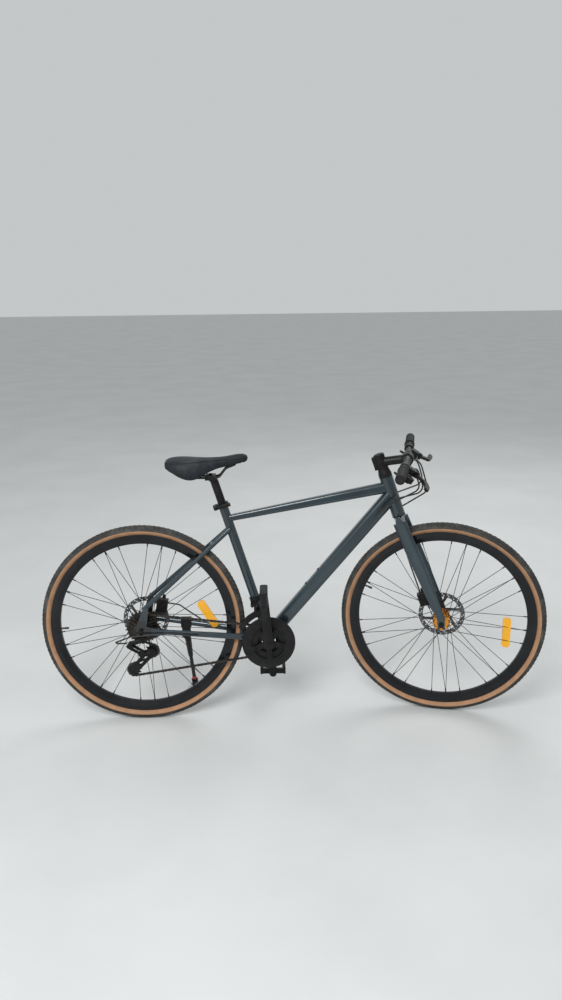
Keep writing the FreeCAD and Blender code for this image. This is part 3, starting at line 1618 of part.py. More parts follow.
def grips():
    """Closed rubber sleeves with a collar at the inner end."""
    sleeves = []
    bore = "bar_radius + running_gap"
    collar = "grip_radius + grip_collar_rise"
    closed = "grip_length - grip_end_wall + grip_end_gap"
    inner = bar_end - (bar_end - bar_bend).normalize() * size.grip_length
    for flip in (Vector, mirrored):
        corners = [("0", bore), ("0", collar), ("grip_collar_length", collar),
                   ("grip_collar_length + grip_collar_slope", "grip_radius - grip_waist"),
                   ("grip_length / 2", "grip_radius"),
                   ("grip_length - grip_end_length", "grip_radius - grip_end_waist"),
                   ("grip_length", "grip_radius - grip_end_round"), ("grip_length", "0"), (closed, "0"),
                   (closed, bore)]
        sleeve = turned((corners,))
        sleeve.Placement = place(flip(inner), flip(bar_end) - flip(inner), SIDE)
        sleeves.append(sleeve)
    return group(*sleeves)


lever_forward = polar(size.control_tilt, 1)
lever_normal = polar(size.control_tilt + QUARTER_TURN, 1)


def side_turn(side):
    """Local X forward along the lever and local Z outward along the bar."""
    outward = (bar_end - bar_bend).normalize()
    outward = outward if side > 0 else mirrored(outward)
    return Rotation(lever_forward, outward.cross(lever_forward), outward, "ZXY")


def out_along_bar(side):
    return side_turn(side).multVec(Vector(0, 0, 1))


def lever_axis(side):
    """The direction of a lever's pin, square to the bar's arm on that side."""
    return side_turn(side).multVec(SIDE) * -side


def lever_pivot(side):
    return on_bar(side * (size.brake_place - size.lever_inset)) + lever_forward * size.lever_forward_place


def brake_brackets():
    """Two clamps with a hooded arm that carries each brake lever on a pin."""
    solids = []
    for side in (-1, 1):
        slot_half = lever_axis(side) * size.lever_slot_half
        cheek_half = lever_axis(side) * size.lever_cheek_half
        turn = side_turn(side)
        outward = out_along_bar(side)
        middle = on_bar(side * size.brake_place)
        pivot = lever_pivot(side)
        half = outward * size.brake_clamp_half
        clamp = cylinder(middle - half, middle + half, "bar_radius + brake_clamp_wall")
        hood = box(middle + lever_forward * size.hood_forward - outward * size.hood_inset,
                   ("hood_length", "hood_height", "hood_width"), turn)
        cheek = cylinder(pivot - cheek_half, pivot + cheek_half, "lever_cheek_radius")
        slot = cylinder(pivot - slot_half, pivot + slot_half, "lever_slot_radius")
        notch = box(pivot + outward * size.lever_notch_place + lever_forward * size.lever_notch_forward,
                    ("lever_notch_length", "lever_slot_half * 2", "lever_notch_width"), turn)
        pin = cylinder(pivot - cheek_half, pivot + cheek_half, "lever_pin_radius")
        hold = cylinder(middle - outward * size.hood_width * 2, middle + outward * size.hood_width * 2,
                        "bar_radius + running_gap")
        rear = pivot - lever_forward * size.brake_barrel_back
        barrel = cylinder(rear - outward * size.brake_barrel_start, rear - outward * size.brake_barrel_end,
                          "barrel_radius")
        solids.append(fuse(cut(fuse(clamp, hood, cheek, barrel), slot, notch, hold), pin))
    return group(*solids)


def eyed(blade, radius):
    """A plate with a round eye at its own origin."""
    reach = SIDE * size.lever_thickness
    return cut(blade, cylinder(reach * -1, reach, radius))


def brake_lever(side):
    """A curved two-finger blade on a pivot eye."""
    bulges = {0: "lever_eye_bulge", 2: "lever_outer_bulge", 3: "lever_tip_bulge", 5: "-(lever_inner_bulge)",
              7: "lever_eye_bulge"}
    blade = plate("lever_thickness", (outline("brake_lever"), bulges))
    whole = eyed(blade, "lever_pin_radius + running_gap")
    whole.Placement = Placement(lever_pivot(side), side_turn(side))
    return whole


def shift_pivot(side):
    under = on_bar(side * size.shift_place) - lever_normal * size.shift_drop
    return under + lever_forward * size.shift_forward


def pod_ferrule(side, distance):
    """A point of the axis on which the gear cable leaves the pod."""
    level = shift_pivot(side) + lever_forward * size.pod_barrel_forward - lever_normal * size.pod_barrel_drop
    return level - out_along_bar(side) * distance


def shifter_pods():
    """Two pods under the bar, each on a clamp of its own, with a pin for the thumb lever."""
    solids = []
    for side in (-1, 1):
        outward = out_along_bar(side)
        middle = on_bar(side * size.shift_place)
        pivot = shift_pivot(side)
        half = outward * size.shift_clamp_half
        clamp = cylinder(middle - half, middle + half, "bar_radius + shift_clamp_wall")
        up = lever_axis(side)
        pod = cylinder(pivot - up * size.pod_below, pivot + up * size.pod_above, "pod_radius")
        pin = cylinder(pivot - up * size.shift_pin_end, pivot - up * size.shift_pin_start, "shift_pin_radius")
        hold = cylinder(middle - outward * size.hood_width * 2, middle + outward * size.hood_width * 2,
                        "bar_radius + running_gap")
        barrel = cylinder(pod_ferrule(side, size.pod_barrel_start), pod_ferrule(side, size.pod_barrel_end),
                          "barrel_radius")
        solids.append(cut(fuse(clamp, pod, pin, barrel), hold))
    return group(*solids)


def shift_lever(side):
    """A thumb paddle under the pod."""
    paddle = plate("paddle_thickness", (outline("shift_lever"), {0: "paddle_bulge", 3: "paddle_bulge"}))
    whole = eyed(paddle, "shift_pin_radius + running_gap")
    whole.Placement = Placement(shift_pivot(side) - lever_axis(side) * size.paddle_drop, side_turn(side))
    return whole


# Seatpost and saddle.

clamp_centre = Vector(0, 0, size.saddle_height) + point("saddle_clamp")


def rounded_path(points, bend):
    """Straight runs joined by arcs that touch them, as one wire."""
    edges = []
    start = points[0]
    for before, corner, after in zip(points, points[1:], points[2:]):
        back = (before - corner).normalize()
        ahead = (after - corner).normalize()
        half = (math.pi - back.getAngle(ahead)) / 2
        limit = min((before - corner).Length, (after - corner).Length) * BEND_SHARE
        cut_back = min(bend * math.tan(half), limit)
        if cut_back < size.fit_tolerance:
            continue
        radius = cut_back / math.tan(half)
        first = corner + back * cut_back
        last = corner + ahead * cut_back
        bisector = (back + ahead).normalize()
        crest = corner + bisector * (radius / math.cos(half) - radius)
        edges.append(Part.LineSegment(start, first).toShape())
        edges.append(Part.Arc(first, crest, last).toShape())
        start = last
    edges.append(Part.LineSegment(start, points[-1]).toShape())
    return Part.Wire(edges)


def rope(points, radius, bend):
    """A round bar or cable along a rounded path, whose volume is its section times its length."""
    path = rounded_path(points, bend)
    section = Part.Wire(Part.Circle(points[0], points[1] - points[0], radius).toShape())
    solid = path.makePipeShell([section], True, True)
    expected = math.pi * radius ** 2 * path.Length
    if abs(solid.Volume - expected) > ROPE_SHARE * expected:
        raise ValueError("the section does not follow the path")
    return solid


def saddle_rails():
    left = [Vector(0, 0, size.saddle_height) + point(name) for name in RAIL]
    right = [mirrored(corner) for corner in left]
    rails = [rope(points, size.rail_radius, size.rail_bend) for points in (left, right)]
    return made(Part.makeCompound(rails))


def seatpost():
    """A post with a cradle and a cap that hold the rails, and one bolt."""
    up = Vector(0, 0, 1)
    top = on_seat_tube(clamp_centre.z - size.post_neck)
    post = cylinder(seat_top - seat_up * size.post_insertion, top, "seatpost_radius")
    neck = loft((place(top, seat_up), "seatpost_radius", "seatpost_radius"),
                (place(clamp_centre - up * size.post_neck_sink, up), "post_neck_half_length",
                 "post_neck_half_width"))
    cradle = box(clamp_centre - up * (size.cradle_height / 2),
                 ("cradle_length", "cradle_width", "cradle_height"))
    cap = box(clamp_centre + up * size.rail_cap_place, ("rail_cap_length", "cradle_width", "rail_cap_height"))
    bolt = cylinder(clamp_centre + up * size.seat_bolt_foot, clamp_centre + up * size.seat_bolt_top,
                    "seat_bolt_radius")
    grooves = []
    for side in (-1, 1):
        middle = clamp_centre + SIDE * side * (size.rail_spacing / 2)
        reach = Vector(size.cradle_length, 0, 0)
        grooves.append(cylinder(middle - reach, middle + reach, "rail_radius + running_gap"))
    return group(cut(fuse(post, neck, cradle), *grooves), cut(fuse(cap, bolt), *grooves))


def saddle_form():
    """A lofted form with a crowned top and drawn-in sides."""
    wires = []
    for along, wide, high, low in SADDLE_SHARES:
        x = size.saddle_rear + along * size.saddle_length
        half = wide * size.saddle_half_width
        top = size.saddle_height + high * size.saddle_depth
        depth = (high - low) * size.saddle_depth
        right = [Vector(x, out * half, top - down * depth) for out, down in SECTION_SHARES]
        left = [mirrored(corner) for corner in reversed(right[1:-1])]
        curve = Part.BSplineCurve()
        curve.interpolate(Points=right + left, PeriodicFlag=True)
        wires.append(Part.Wire(curve.toShape()))
    return Part.makeLoft(wires, True, False)


def saddle_hollow(skin):
    """The space under the cushion, less a skin."""
    wires = []
    turn = Rotation(SIDE, QUARTER_TURN).multiply(Rotation(Vector(0, 0, 1), QUARTER_TURN))
    for along, wide, high, low in SADDLE_SHARES[1:-1]:
        x = size.saddle_rear + along * size.saddle_length
        half = wide * size.saddle_half_width * size.saddle_hollow_share - skin
        depth = (high - low) * size.saddle_depth - size.saddle_padding - skin
        wire = Part.Wire(Part.Ellipse(Vector(), half, depth).toShape())
        wire.Placement = Placement(Vector(x, 0, size.saddle_height + low * size.saddle_depth), turn)
        wires.append(wire)
    return Part.makeLoft(wires, True, False)


def saddle(rails):
    """The cushion, open below, and the moulded base that lines it and holds the rail ends."""
    form = saddle_form()
    lining = saddle_hollow(0)
    cover = form.cut(lining).cut(rails)
    base = lining.cut(saddle_hollow(size.saddle_base_skin)).common(form)
    return made(cover), made(base)


# Brakes.

def front_rotor_centre():
    return front_axle + SIDE * size.front_rotor_place + point("front_caliper")


def rear_rotor_centre():
    return rear_axle + SIDE * size.rear_rotor_place + point("rear_caliper")


def caliper(middle, wheel, tilt, foot, carved):
    """A block astride the disc with a round piston housing and a foot on its carrier."""
    block = box(middle, ("caliper_length", "caliper_width", "caliper_height"), Rotation(SIDE, -tilt))
    housing = cylinder(middle + SIDE * size.caliper_housing_start, middle + SIDE * size.caliper_housing_end,
                       "caliper_housing_radius")
    half = SIDE * (size.rotor_thickness / 2 + size.caliper_slot_gap)
    disc = Vector(wheel.x, middle.y, wheel.z)
    slot = cylinder(disc - half, disc + half, "rotor_radius + caliper_bridge_gap")
    pin = cylinder(middle + SIDE * size.caliper_pin_start, middle + SIDE * size.caliper_pin_end,
                   "caliper_pin_radius")
    return cut(fuse(cut(fuse(block, housing), slot), pin, foot), carved)


def caliper_arm(middle, tilt):
    """The lever that the cable pulls, on the caliper's pin."""
    bulges = {0: "caliper_arm_eye_bulge", 1: "caliper_arm_foot_bulge", 3: "caliper_arm_tip_bulge"}
    arm = plate("caliper_arm_thickness", (outline("caliper_arm"), bulges))
    whole = eyed(arm, "caliper_pin_radius + running_gap")
    whole.Placement = Placement(middle + SIDE * size.caliper_arm_place, Rotation(SIDE, -tilt))
    return whole


# Drivetrain.

def crank_place(side):
    return size.left_crank_place if side > 0 else -size.right_crank_place


def crank_arm(side):
    """A tapered arm with its spindle eye, and the pedal axle screwed into its tip."""
    corners = [("-(crank_boss_radius)", "0"), ("crank_boss_radius", "0"), ("crank_tip_radius", "crank_length"),
               ("-(crank_tip_radius)", "crank_length")]
    bulges = {0: "crank_boss_radius + round_margin", 2: "crank_tip_radius + round_margin"}
    arm = plate("crank_thickness", (corners, bulges))
    middle = bracket + SIDE * crank_place(side)
    angle = size.crank_angle - QUARTER_TURN + (HALF_TURN if side > 0 else 0)
    arm.Placement = Placement(middle, Rotation(SIDE, -angle))
    tip = middle + crank_tip * -side
    length = size.crank_thickness / 2 + size.pedal_gap + size.pedal_width - size.pedal_axle_inset
    rod = cylinder(tip, tip + SIDE * side * length, "pedal_axle_radius")
    reach = SIDE * size.right_crank_place * 2
    bore = cylinder(bracket - reach, bracket + reach, "spindle_radius + running_gap")
    if side > 0:
        return cut(fuse(arm, rod), bore)
    boss = cylinder(middle, middle + SIDE * size.spider_boss_length, "spider_boss_radius")
    spider = [spider_arm(index) for index in range(SPIDER_ARMS)]
    return cut(fuse(arm, rod, boss, *spider), bore)


def spider_arm(index):
    """One of the arms that carry the rings and the guard."""
    arm = plate("spider_thickness", (outline("spider_arm"), {2: "spider_tip_bulge"}))
    middle = bracket - SIDE * (size.right_crank_place - size.spider_inset)
    arm.Placement = Placement(middle, Rotation(SIDE, QUARTER_TURN - spider_turn(index)))
    return arm


def chain_guard():
    """A flat ring outside the large chainring, on tabs under the spider."""
    body = document.addObject("PartDesign::Body", "guard")
    padded(body, "guard_thickness", None, [("guard_radius",), ("guard_radius - guard_band",)])
    tip = "guard_radius - guard_band + guard_tab_overlap"
    corners = [("-guard_tab_root_half", "guard_tab_root"), ("guard_tab_root_half", "guard_tab_root"),
               ("guard_tab_tip_half", tip), ("-guard_tab_tip_half", tip)]
    tab = padded(body, "guard_thickness", (corners, {0: "guard_tab_bulge"}))
    round_about(body, tab, SPIDER_ARMS)
    at = size.right_crank_place - size.spider_inset - (size.spider_thickness + size.guard_thickness) / 2
    body.Placement = Placement(bracket - SIDE * at, Rotation(SIDE, QUARTER_TURN - spider_turn(0)))
    return cut(body, made(Part.makeCompound([post_hole(index) for index in range(SPIDER_ARMS)])))


def post_hole(index):
    start = bracket + polar(spider_turn(index), size.post_circle) - SIDE * size.right_crank_place
    return Part.makeCylinder(size.post_radius + size.post_gap, size.right_crank_place, start, SIDE)


def spindle():
    return cylinder(bracket - SIDE * (size.right_crank_place + size.spindle_end),
                    bracket + SIDE * (size.left_crank_place + size.spindle_end), "spindle_radius")


def pedal(side):
    """A platform with two windows beside the bearing barrel."""
    inner = abs(crank_place(side)) + size.crank_thickness / 2 + size.pedal_gap
    middle = bracket + crank_tip * -side + SIDE * side * (inner + size.pedal_width / 2)
    pieces = [box(Vector(), ("pedal_length", "pedal_width", "pedal_thickness - pedal_body_step"))]
    windows = []
    for end in (-1, 1):
        edge = Vector(end * (size.pedal_length - size.pedal_end_length) / 2, 0, 0)
        pieces.append(box(edge, ("pedal_end_length", "pedal_width - pedal_end_inset", "pedal_thickness")))
        gap = Vector(end * size.pedal_window_place, 0, 0)
        across_window = ("pedal_window_length", "pedal_width - pedal_window_inset", "pedal_thickness * 2")
        windows.append(box(gap, across_window))
    half = SIDE * (size.pedal_width / 2)
    barrel = cylinder(half * -1, half, "pedal_thickness / 2")
    bore = cylinder(half * -2, half * 2, "pedal_axle_radius + running_gap")
    body = cut(fuse(cut(fuse(*pieces), *windows), barrel), bore)
    body.Placement = Placement(middle, Rotation(SIDE, QUARTER_TURN if side < 0 else 0))
    return body


knuckle_bolt = point("knuckle_bolt")
link_start = point("link_start")
link_end = point("link_end")
link_flat = Vector(link_end.x - link_start.x, 0, link_end.z - link_start.z)
link_axis = link_flat.cross(SIDE).normalize()
link_length = (link_end - link_start).Length


def pivot_turn():
    """Local Y along the link's pins and local Z along the link."""
    along = (link_end - link_start).normalize()
    return Rotation(link_axis.cross(along), link_axis, along, "YZX")


def derailleur_knuckle():
    """The bracket that hangs from the dropout, with the pin of the link."""
    outside = size.rear_hub_width / 2 + size.dropout_thickness
    start = Vector(knuckle_bolt.x, -outside, knuckle_bolt.z)
    face = start - SIDE * size.knuckle_boss_length
    boss = cylinder(start, face, "knuckle_boss_radius")
    head = cylinder(face, face - SIDE * size.knuckle_head_length, "knuckle_head_radius")
    cheek = link_start + link_axis * size.link_cheek_place
    root = start - SIDE * size.knuckle_arm_place
    arm = loft((place(root, cheek - root), "knuckle_arm_root_half", "knuckle_arm_thickness"),
               (place(cheek, cheek - root), "knuckle_arm_tip_half", "knuckle_arm_thickness"))
    inner = link_start + link_axis * size.link_lug_start
    far = link_start - link_axis * size.link_pin_reach
    lug = cylinder(inner, link_start + link_axis * size.link_lug_end, "link_lug_radius")
    pin = cylinder(far, link_start + link_axis * size.link_pin_root, "link_pin_radius")
    clear = cylinder(far, inner, "link_clear_radius")
    barrel = cylinder(cheek, cheek - Vector(size.tail_barrel_length, 0, 0), "tail_barrel_radius")
    return fuse(cut(fuse(boss, head, arm, lug, barrel), clear), pin)


def derailleur_link():
    """The outer and inner arms of the parallelogram as one swinging link."""
    end = str(link_length)
    low = "link_window_inset"
    high = f"{end} - link_window_inset"
    bulge = "link_half_width + round_margin"
    edge = [("-link_half_width", "0"), ("link_half_width", "0"), ("link_half_width", end),
            ("-link_half_width", end)]
    bar = plate("link_thickness", (edge, {0: bulge, 2: bulge}))
    window = plate("link_window_thickness", ([("-link_window_half", low), ("link_window_half", low),
                                              ("link_window_half", high), ("-link_window_half", high)],))
    reach = SIDE * size.link_thickness
    ends = (Vector(), Vector(0, 0, link_length))
    eyes = [cylinder(eye - reach, eye + reach, "link_pin_radius + running_gap") for eye in ends]
    link = cut(bar, window, *eyes)
    link.Placement = Placement(link_start, pivot_turn())
    return link


def derailleur_body():
    """The lower knuckle: a spring housing on the guide pulley's axis and the pin of the link."""
    outer = guide_axis - SIDE * (size.chain_line + size.housing_place)
    housing = cylinder(outer, outer - SIDE * size.housing_length, "housing_radius")
    inner = link_end - link_axis * size.link_lug_start
    lug = cylinder(inner, link_end - link_axis * size.link_lug_end, "link_lug_radius")
    cheek = link_end - link_axis * size.link_cheek_place
    middle = outer - SIDE * size.body_arm_place
    arm = loft((place(middle, cheek - middle), "body_arm_root_half", "body_arm_root_thickness"),
               (place(cheek, cheek - middle), "body_arm_tip_half", "body_arm_tip_thickness"))
    far = link_end + link_axis * size.link_pin_reach
    clear = cylinder(inner, far, "link_clear_radius")
    pin = cylinder(link_end - link_axis * size.link_pin_root, far, "link_pin_radius")
    return fuse(cut(fuse(housing, lug, arm), clear), pin)


def derailleur_cage():
    """Two slotted plates that carry both pulleys on pins."""
    far = "cage_length - cage_slot_inset"
    slot_bulge = "cage_slot_half + round_margin"
    plates = []
    for side in (-1, 1):
        corners = [("-cage_guide_half", "0"), ("cage_guide_half", "0"), ("cage_tension_half", "cage_length"),
                   ("-cage_tension_half", "cage_length")]
        bulges = {0: "cage_guide_half + round_margin", 2: "cage_tension_half + round_margin"}
        edge = [("-cage_slot_half", "cage_slot_inset"), ("cage_slot_half", "cage_slot_inset"),
                ("cage_slot_half", far), ("-cage_slot_half", far)]
        slot = plate("cage_slot_depth", (edge, {0: slot_bulge, 2: slot_bulge}))
        cheek = cut(plate("cage_plate_thickness", (corners, bulges)), slot)
        at = guide_axis - SIDE * (size.chain_line + side * size.cage_plate_place)
        cheek.Placement = Placement(at, Rotation(SIDE, QUARTER_TURN - cage_rest))
        plates.append(cheek)
    half = SIDE * size.cage_pin_half
    middles = [axis - SIDE * size.chain_line for axis in (guide_axis, tension_axis)]
    bolts = [cylinder(middle - half, middle + half, "pulley_pin_radius") for middle in middles]
    return fuse(*plates, *bolts)


band_middle = on_seat_tube(size.derailleur_height)


def guides(start, end, radius):
    """The two rails of the front derailleur, or the bores that run on them."""
    level = band_middle - Vector(0, 0, size.guide_drop)
    forward = [level + Vector(x, 0, 0) for x in (size.guide_back, size.guide_front)]
    return [cylinder(base - SIDE * start, base - SIDE * end, radius) for base in forward]


def front_derailleur_bracket():
    """A band round the seat tube with a block that guides the cage."""
    half = seat_up * size.band_half_height
    band = cylinder(band_middle - half, band_middle + half, "seat_tube_radius + band_wall")
    block = box(band_middle + point("guide_block"),
                ("guide_block_length", "guide_block_width", "guide_block_height"))
    tube = cylinder(bracket, seat_top, "seat_tube_radius")
    return fuse(cut(fuse(band, block), tube), *guides(size.guide_start, size.guide_end, "guide_radius"))


def front_derailleur_cage():
    """Two curved plates over the rings, joined at the top by a carrier that runs on the guides."""
    inner = "guard_radius + cage_arch_gap"
    half = "cage_arch_half_thickness"
    plates = []
    for side in (-1, 1):
        arch = turned((ring(inner, f"{inner} + cage_arch_width", f"-{half}", half),))
        at = size.chain_line - side * size.cage_arch_place
        arch.Placement = Placement(bracket - SIDE * at, Rotation())
        plates.append(arch)
    angles = (size.cage_arch_start_angle, size.cage_arch_middle_angle, size.cage_arch_end_angle)
    sector = polygon_prism([Vector()] + [polar(angle, size.cage_arch_reach) for angle in angles], bracket)
    line = SIDE * size.chain_line
    carrier_place = Vector(band_middle.x + size.carrier_place, 0, band_middle.z - size.guide_drop)
    carrier = box(carrier_place - line, ("carrier_length", "carrier_width", "carrier_height"))
    arch_top = bracket + polar(size.riser_angle, value(inner) + size.cage_arch_width - size.cage_arch_gap)
    riser_top = Vector(carrier_place.x, 0, band_middle.z - size.riser_top_drop)
    riser = box((riser_top + arch_top) / 2 - line, ("riser_length", "carrier_width", "riser_height"))
    bores = guides(0, size.guide_bore_end, "guide_radius + running_gap")
    return cut(fuse(common(fuse(*plates), sector), carrier, riser), *bores)


def polygon_prism(points, centre):
    depth = SIDE * size.cage_arch_depth
    face = Part.Face(Part.makePolygon([centre + corner - depth for corner in points + points[:1]]))
    return made(face.extrude(depth))


def common(first, second):
    both = document.addObject("Part::Common", "both")
    both.Base = first
    both.Tool = second
    return both


# The way the bicycle stands: front end turned, both tyres on the ground, leaning on the stand.

steering = Placement(Vector(), Rotation(head_up, size.steer_angle), steer_foot)


def lowest(centre, axis):
    """The lowest point of a tyre with a round section."""
    core = size.tyre_radius - size.tyre_half_width
    return centre.z - core * math.sqrt(1 - axis.z ** 2) - size.tyre_half_width


def standing_place():
    """The lean and the small pitch that bring both tyres to the ground."""
    pitch = 0
    for step in range(SETTLE_STEPS):
        turn = Rotation(SIDE, pitch).multiply(Rotation(Vector(1, 0, 0), -size.lean_angle))
        rear = lowest(turn.multVec(rear_axle), turn.multVec(SIDE))
        front = lowest(turn.multVec(steering.multVec(front_axle)),
                       turn.multVec(steering.Rotation.multVec(SIDE)))
        pitch += math.degrees(math.atan2(front - rear, size.wheel_base))
    return Placement(Vector(0, 0, -rear), turn)


standing = standing_place()

# Stand.

stand_pivot = Vector(size.stand_forward, size.stand_place, -size.stand_below)
stand_slope = polar(size.stand_splay - QUARTER_TURN, 1)
stand_down = Vector(STAND_LEAN_SHARE, stand_slope.x, stand_slope.z).normalize()
stand_folded = Vector(*STAND_FOLDED_SHARES).normalize()
stand_tilt = math.atan2(stand_folded.y - stand_down.y, stand_down.z - stand_folded.z)
stand_axis = Vector(0, math.cos(stand_tilt), math.sin(stand_tilt))
if stand_axis.y < 0:
    stand_axis = stand_axis * -1
stand_length = -standing.multVec(stand_pivot).z / standing.Rotation.multVec(stand_down).z
stand_face = size.stand_eye_half + size.stand_eye_gap


def on_stand(distance):
    """A point of the leg's pin, outward from the middle of its eye."""
    return stand_pivot + stand_axis * distance


def stand_bracket():
    """A clamp round the left chainstay with the pin of the leg."""
    share = (chainstay_front.x - size.stand_forward) / (chainstay_front.x - chainstay_rear.x)
    middle = chainstay_front + (chainstay_rear - chainstay_front) * share
    clamp = box(middle, ("stand_clamp_length", "stand_clamp_width", "stand_clamp_height"))
    low = (middle.z + stand_pivot.z) / 2 - size.stand_drop_below
    drop = box(Vector(middle.x, middle.y - size.stand_drop_inset, low),
               ("stand_drop_length", "stand_drop_width", "stand_drop_height"))
    cheek = cylinder(on_stand(-size.stand_cheek_end), on_stand(-stand_face), "stand_eye_radius")
    clear = cylinder(on_stand(-stand_face), on_stand(size.stand_clear_end), "stand_clear_radius")
    pin = cylinder(on_stand(-size.stand_pin_root), on_stand(size.stand_pin_tip), "stand_pin_radius")
    head = cylinder(on_stand(stand_face), on_stand(size.stand_pin_head_end), "stand_pin_head_radius")
    return fuse(cut(fuse(clamp, drop, cheek), chainstay(), clear), pin, head)


def stand_leg():
    """A thick socket, a thin lower leg and a rubber foot cut level with the ground."""
    half = size.stand_eye_half
    eye = cylinder(on_stand(-half), on_stand(half), "stand_eye_radius")
    knee = stand_pivot + stand_down * (stand_length * size.stand_socket_share)
    ankle = stand_pivot + stand_down * (stand_length - size.stand_foot_height)
    below = stand_pivot + stand_down * (stand_length + size.stand_foot_below)
    root = stand_pivot + stand_down * half
    socket = loft((place(root, stand_down), "stand_socket_root_radius", "stand_socket_root_radius"),
                  (place(knee, stand_down), "stand_socket_tip_radius", "stand_socket_tip_radius"))
    lower = cylinder(knee, ankle, "stand_leg_radius")
    foot = cylinder(ankle, below, "stand_foot_radius")
    ground = box(Vector(), ("stand_ground_size", "stand_ground_size", "stand_ground_size"))
    touch = standing.multVec(stand_pivot + stand_down * stand_length)
    corner = touch - Vector(size.stand_ground_size / 2, size.stand_ground_size / 2, size.stand_ground_size)
    ground.Placement = standing.inverse().multiply(Placement(corner, Rotation()))
    bore = cylinder(on_stand(-half * 2), on_stand(half * 2), "stand_pin_radius + running_gap")
    return cut(fuse(eye, socket, lower, foot), bore, ground)


# Cables, each a straight and curved run between its two stops.

def cable_start(side, pod):
    """Where a cable leaves its brake bracket or shifter pod, and the way it leaves."""
    outward = out_along_bar(side)
    if pod:
        return pod_ferrule(side, size.pod_barrel_end), outward * -1
    rear = lever_pivot(side) - lever_forward * size.brake_barrel_back
    return rear - outward * size.brake_barrel_end, outward * -1


def entry_port(side, distance):
    """A point on the side of the down tube near the head tube, and the tube's heading."""
    way = (bracket - down_tube_top()).normalize()
    out = SIDE * side * (size.down_tube_width / 2 - size.port_depth)
    return down_tube_top() + way * value(distance) + out, way


def port_line(side, distance):
    """The last straight run of a cable as it goes into the down tube."""
    port, tube = entry_port(side, distance)
    start = port - tube * size.port_lead + SIDE * side * size.port_lead_out
    return start, port + tube * size.port_end - SIDE * side * size.port_end_in


def port_drill(side, distance):
    start, end = port_line(side, distance)
    return cylinder(start, end + (end - start), "cable_radius + port_gap")


def frame_cables(stays):
    """Rear brake, rear gear and front gear cables to the down tube, and their ends at the back."""
    solids = []
    shares = zip(CABLE_SPREAD_SHARES, CABLE_SIDE_SHARES)
    for (side, distance), pod, (spread, aside) in zip(PORTS, (False, True, True), shares):
        out = SIDE * side * aside
        start, way = cable_start(side, pod)
        port, tube = entry_port(side, distance)
        front = bar_centre + lever_forward * size.cable_front_reach * spread
        front += out * size.cable_front_spread
        under = bar_centre + lever_forward * size.cable_under_reach * spread
        under += out * size.cable_under_spread
        under -= head_up * (size.cable_under_drop + size.cable_under_step * spread)
        near = port + out * size.port_approach_out - tube * size.port_approach
        steered = [start, start + way * size.cable_lead, front, under]
        points = [steering.multVec(corner) for corner in steered] + [near, *port_line(side, distance)]
        solids.append(rope(points, size.cable_radius, size.cable_bend))
    exit_left = chainstay_front + (chainstay_rear - chainstay_front) * size.cable_exit_share
    gear = [mirrored(exit_left), point("gear_cable_side"), point("gear_cable_back"), point("gear_cable_loop"),
            link_tail() + point("gear_cable_end"), link_tail()]
    stop = point("rear_stop") + Vector(size.caliper_length / 2 + size.cable_stop_gap, 0, 0)
    lead = stop + Vector(size.caliper_stop_lead, 0, 0)
    ends = [caliper_stop(rear_rotor_centre(), size.rear_caliper_tilt, offset) for offset in (lead, stop)]
    for points in (gear, [exit_left, point("brake_cable_side"), *ends]):
        solids.append(rope(points, size.cable_radius, size.cable_rear_bend).cut(stays))
    return made(Part.makeCompound(solids))


def caliper_stop(middle, tilt, offset):
    """A point on or near a caliper, given along the caliper's own edges."""
    return middle + Rotation(SIDE, -tilt).multVec(offset)


def link_tail():
    reach = size.tail_barrel_length + size.cable_stop_gap
    return link_start + link_axis * size.link_cheek_place - Vector(reach, 0, 0)


def front_brake_cable():
    """From the left lever round the head tube to the front caliper."""
    start, way = cable_start(1, False)
    stop = point("front_stop") + Vector(0, 0, size.caliper_height / 2 + size.cable_stop_gap)
    lead = stop + Vector(0, 0, size.front_stop_lead)
    ends = [caliper_stop(front_rotor_centre(), size.front_caliper_tilt, offset) for offset in (lead, stop)]
    front = bar_centre + lever_forward * size.front_cable_reach + SIDE * size.front_cable_spread
    under = front - lever_forward * size.front_cable_back - head_up * size.front_cable_drop
    crown = blade_top + point("front_cable_crown")
    points = [start, start + way * size.cable_lead, front, under, crown, *ends]
    return made(rope(points, size.cable_radius, size.cable_bend))


# Assembly.

def moved(item, offset):
    item.Placement = Placement(offset, Rotation()).multiply(item.Placement)
    return item


def build_wheel(prefix, centre, steered):
    """One wheel with its disc, drawn at the origin and moved to its axle."""
    document.recompute()
    right, left = [f"{prefix}_flange_{side}" for side in ("right", "left")]
    ends = [f"{prefix}_hub_end_{side}" for side in ("right", "left")]
    rotor_place = f"{prefix}_rotor_place"
    valve_angle = value(f"{prefix}_valve_angle")
    lens = reflector(point(f"{prefix}_reflector"), value(f"{prefix}_reflector_angle"), value(right),
                     value(left))
    pieces = {
        "tyre": tyre(valve_angle),
        "rim": rim(valve_angle),
        "spokes": spokes(value(right), value(left)),
        "hub": hub(right, left, *ends, f"{rotor_place} - rotor_thickness / 2"),
        "rotor": moved(rotor(), SIDE * value(rotor_place)),
        "reflector": lens,
    }
    document.recompute()
    for name, item in pieces.items():
        node(f"{prefix}_{name}", moved(item, centre), steered)
    node(f"{prefix}_axle", moved(axle(f"{prefix}_hub_width", *ends), centre), steered)


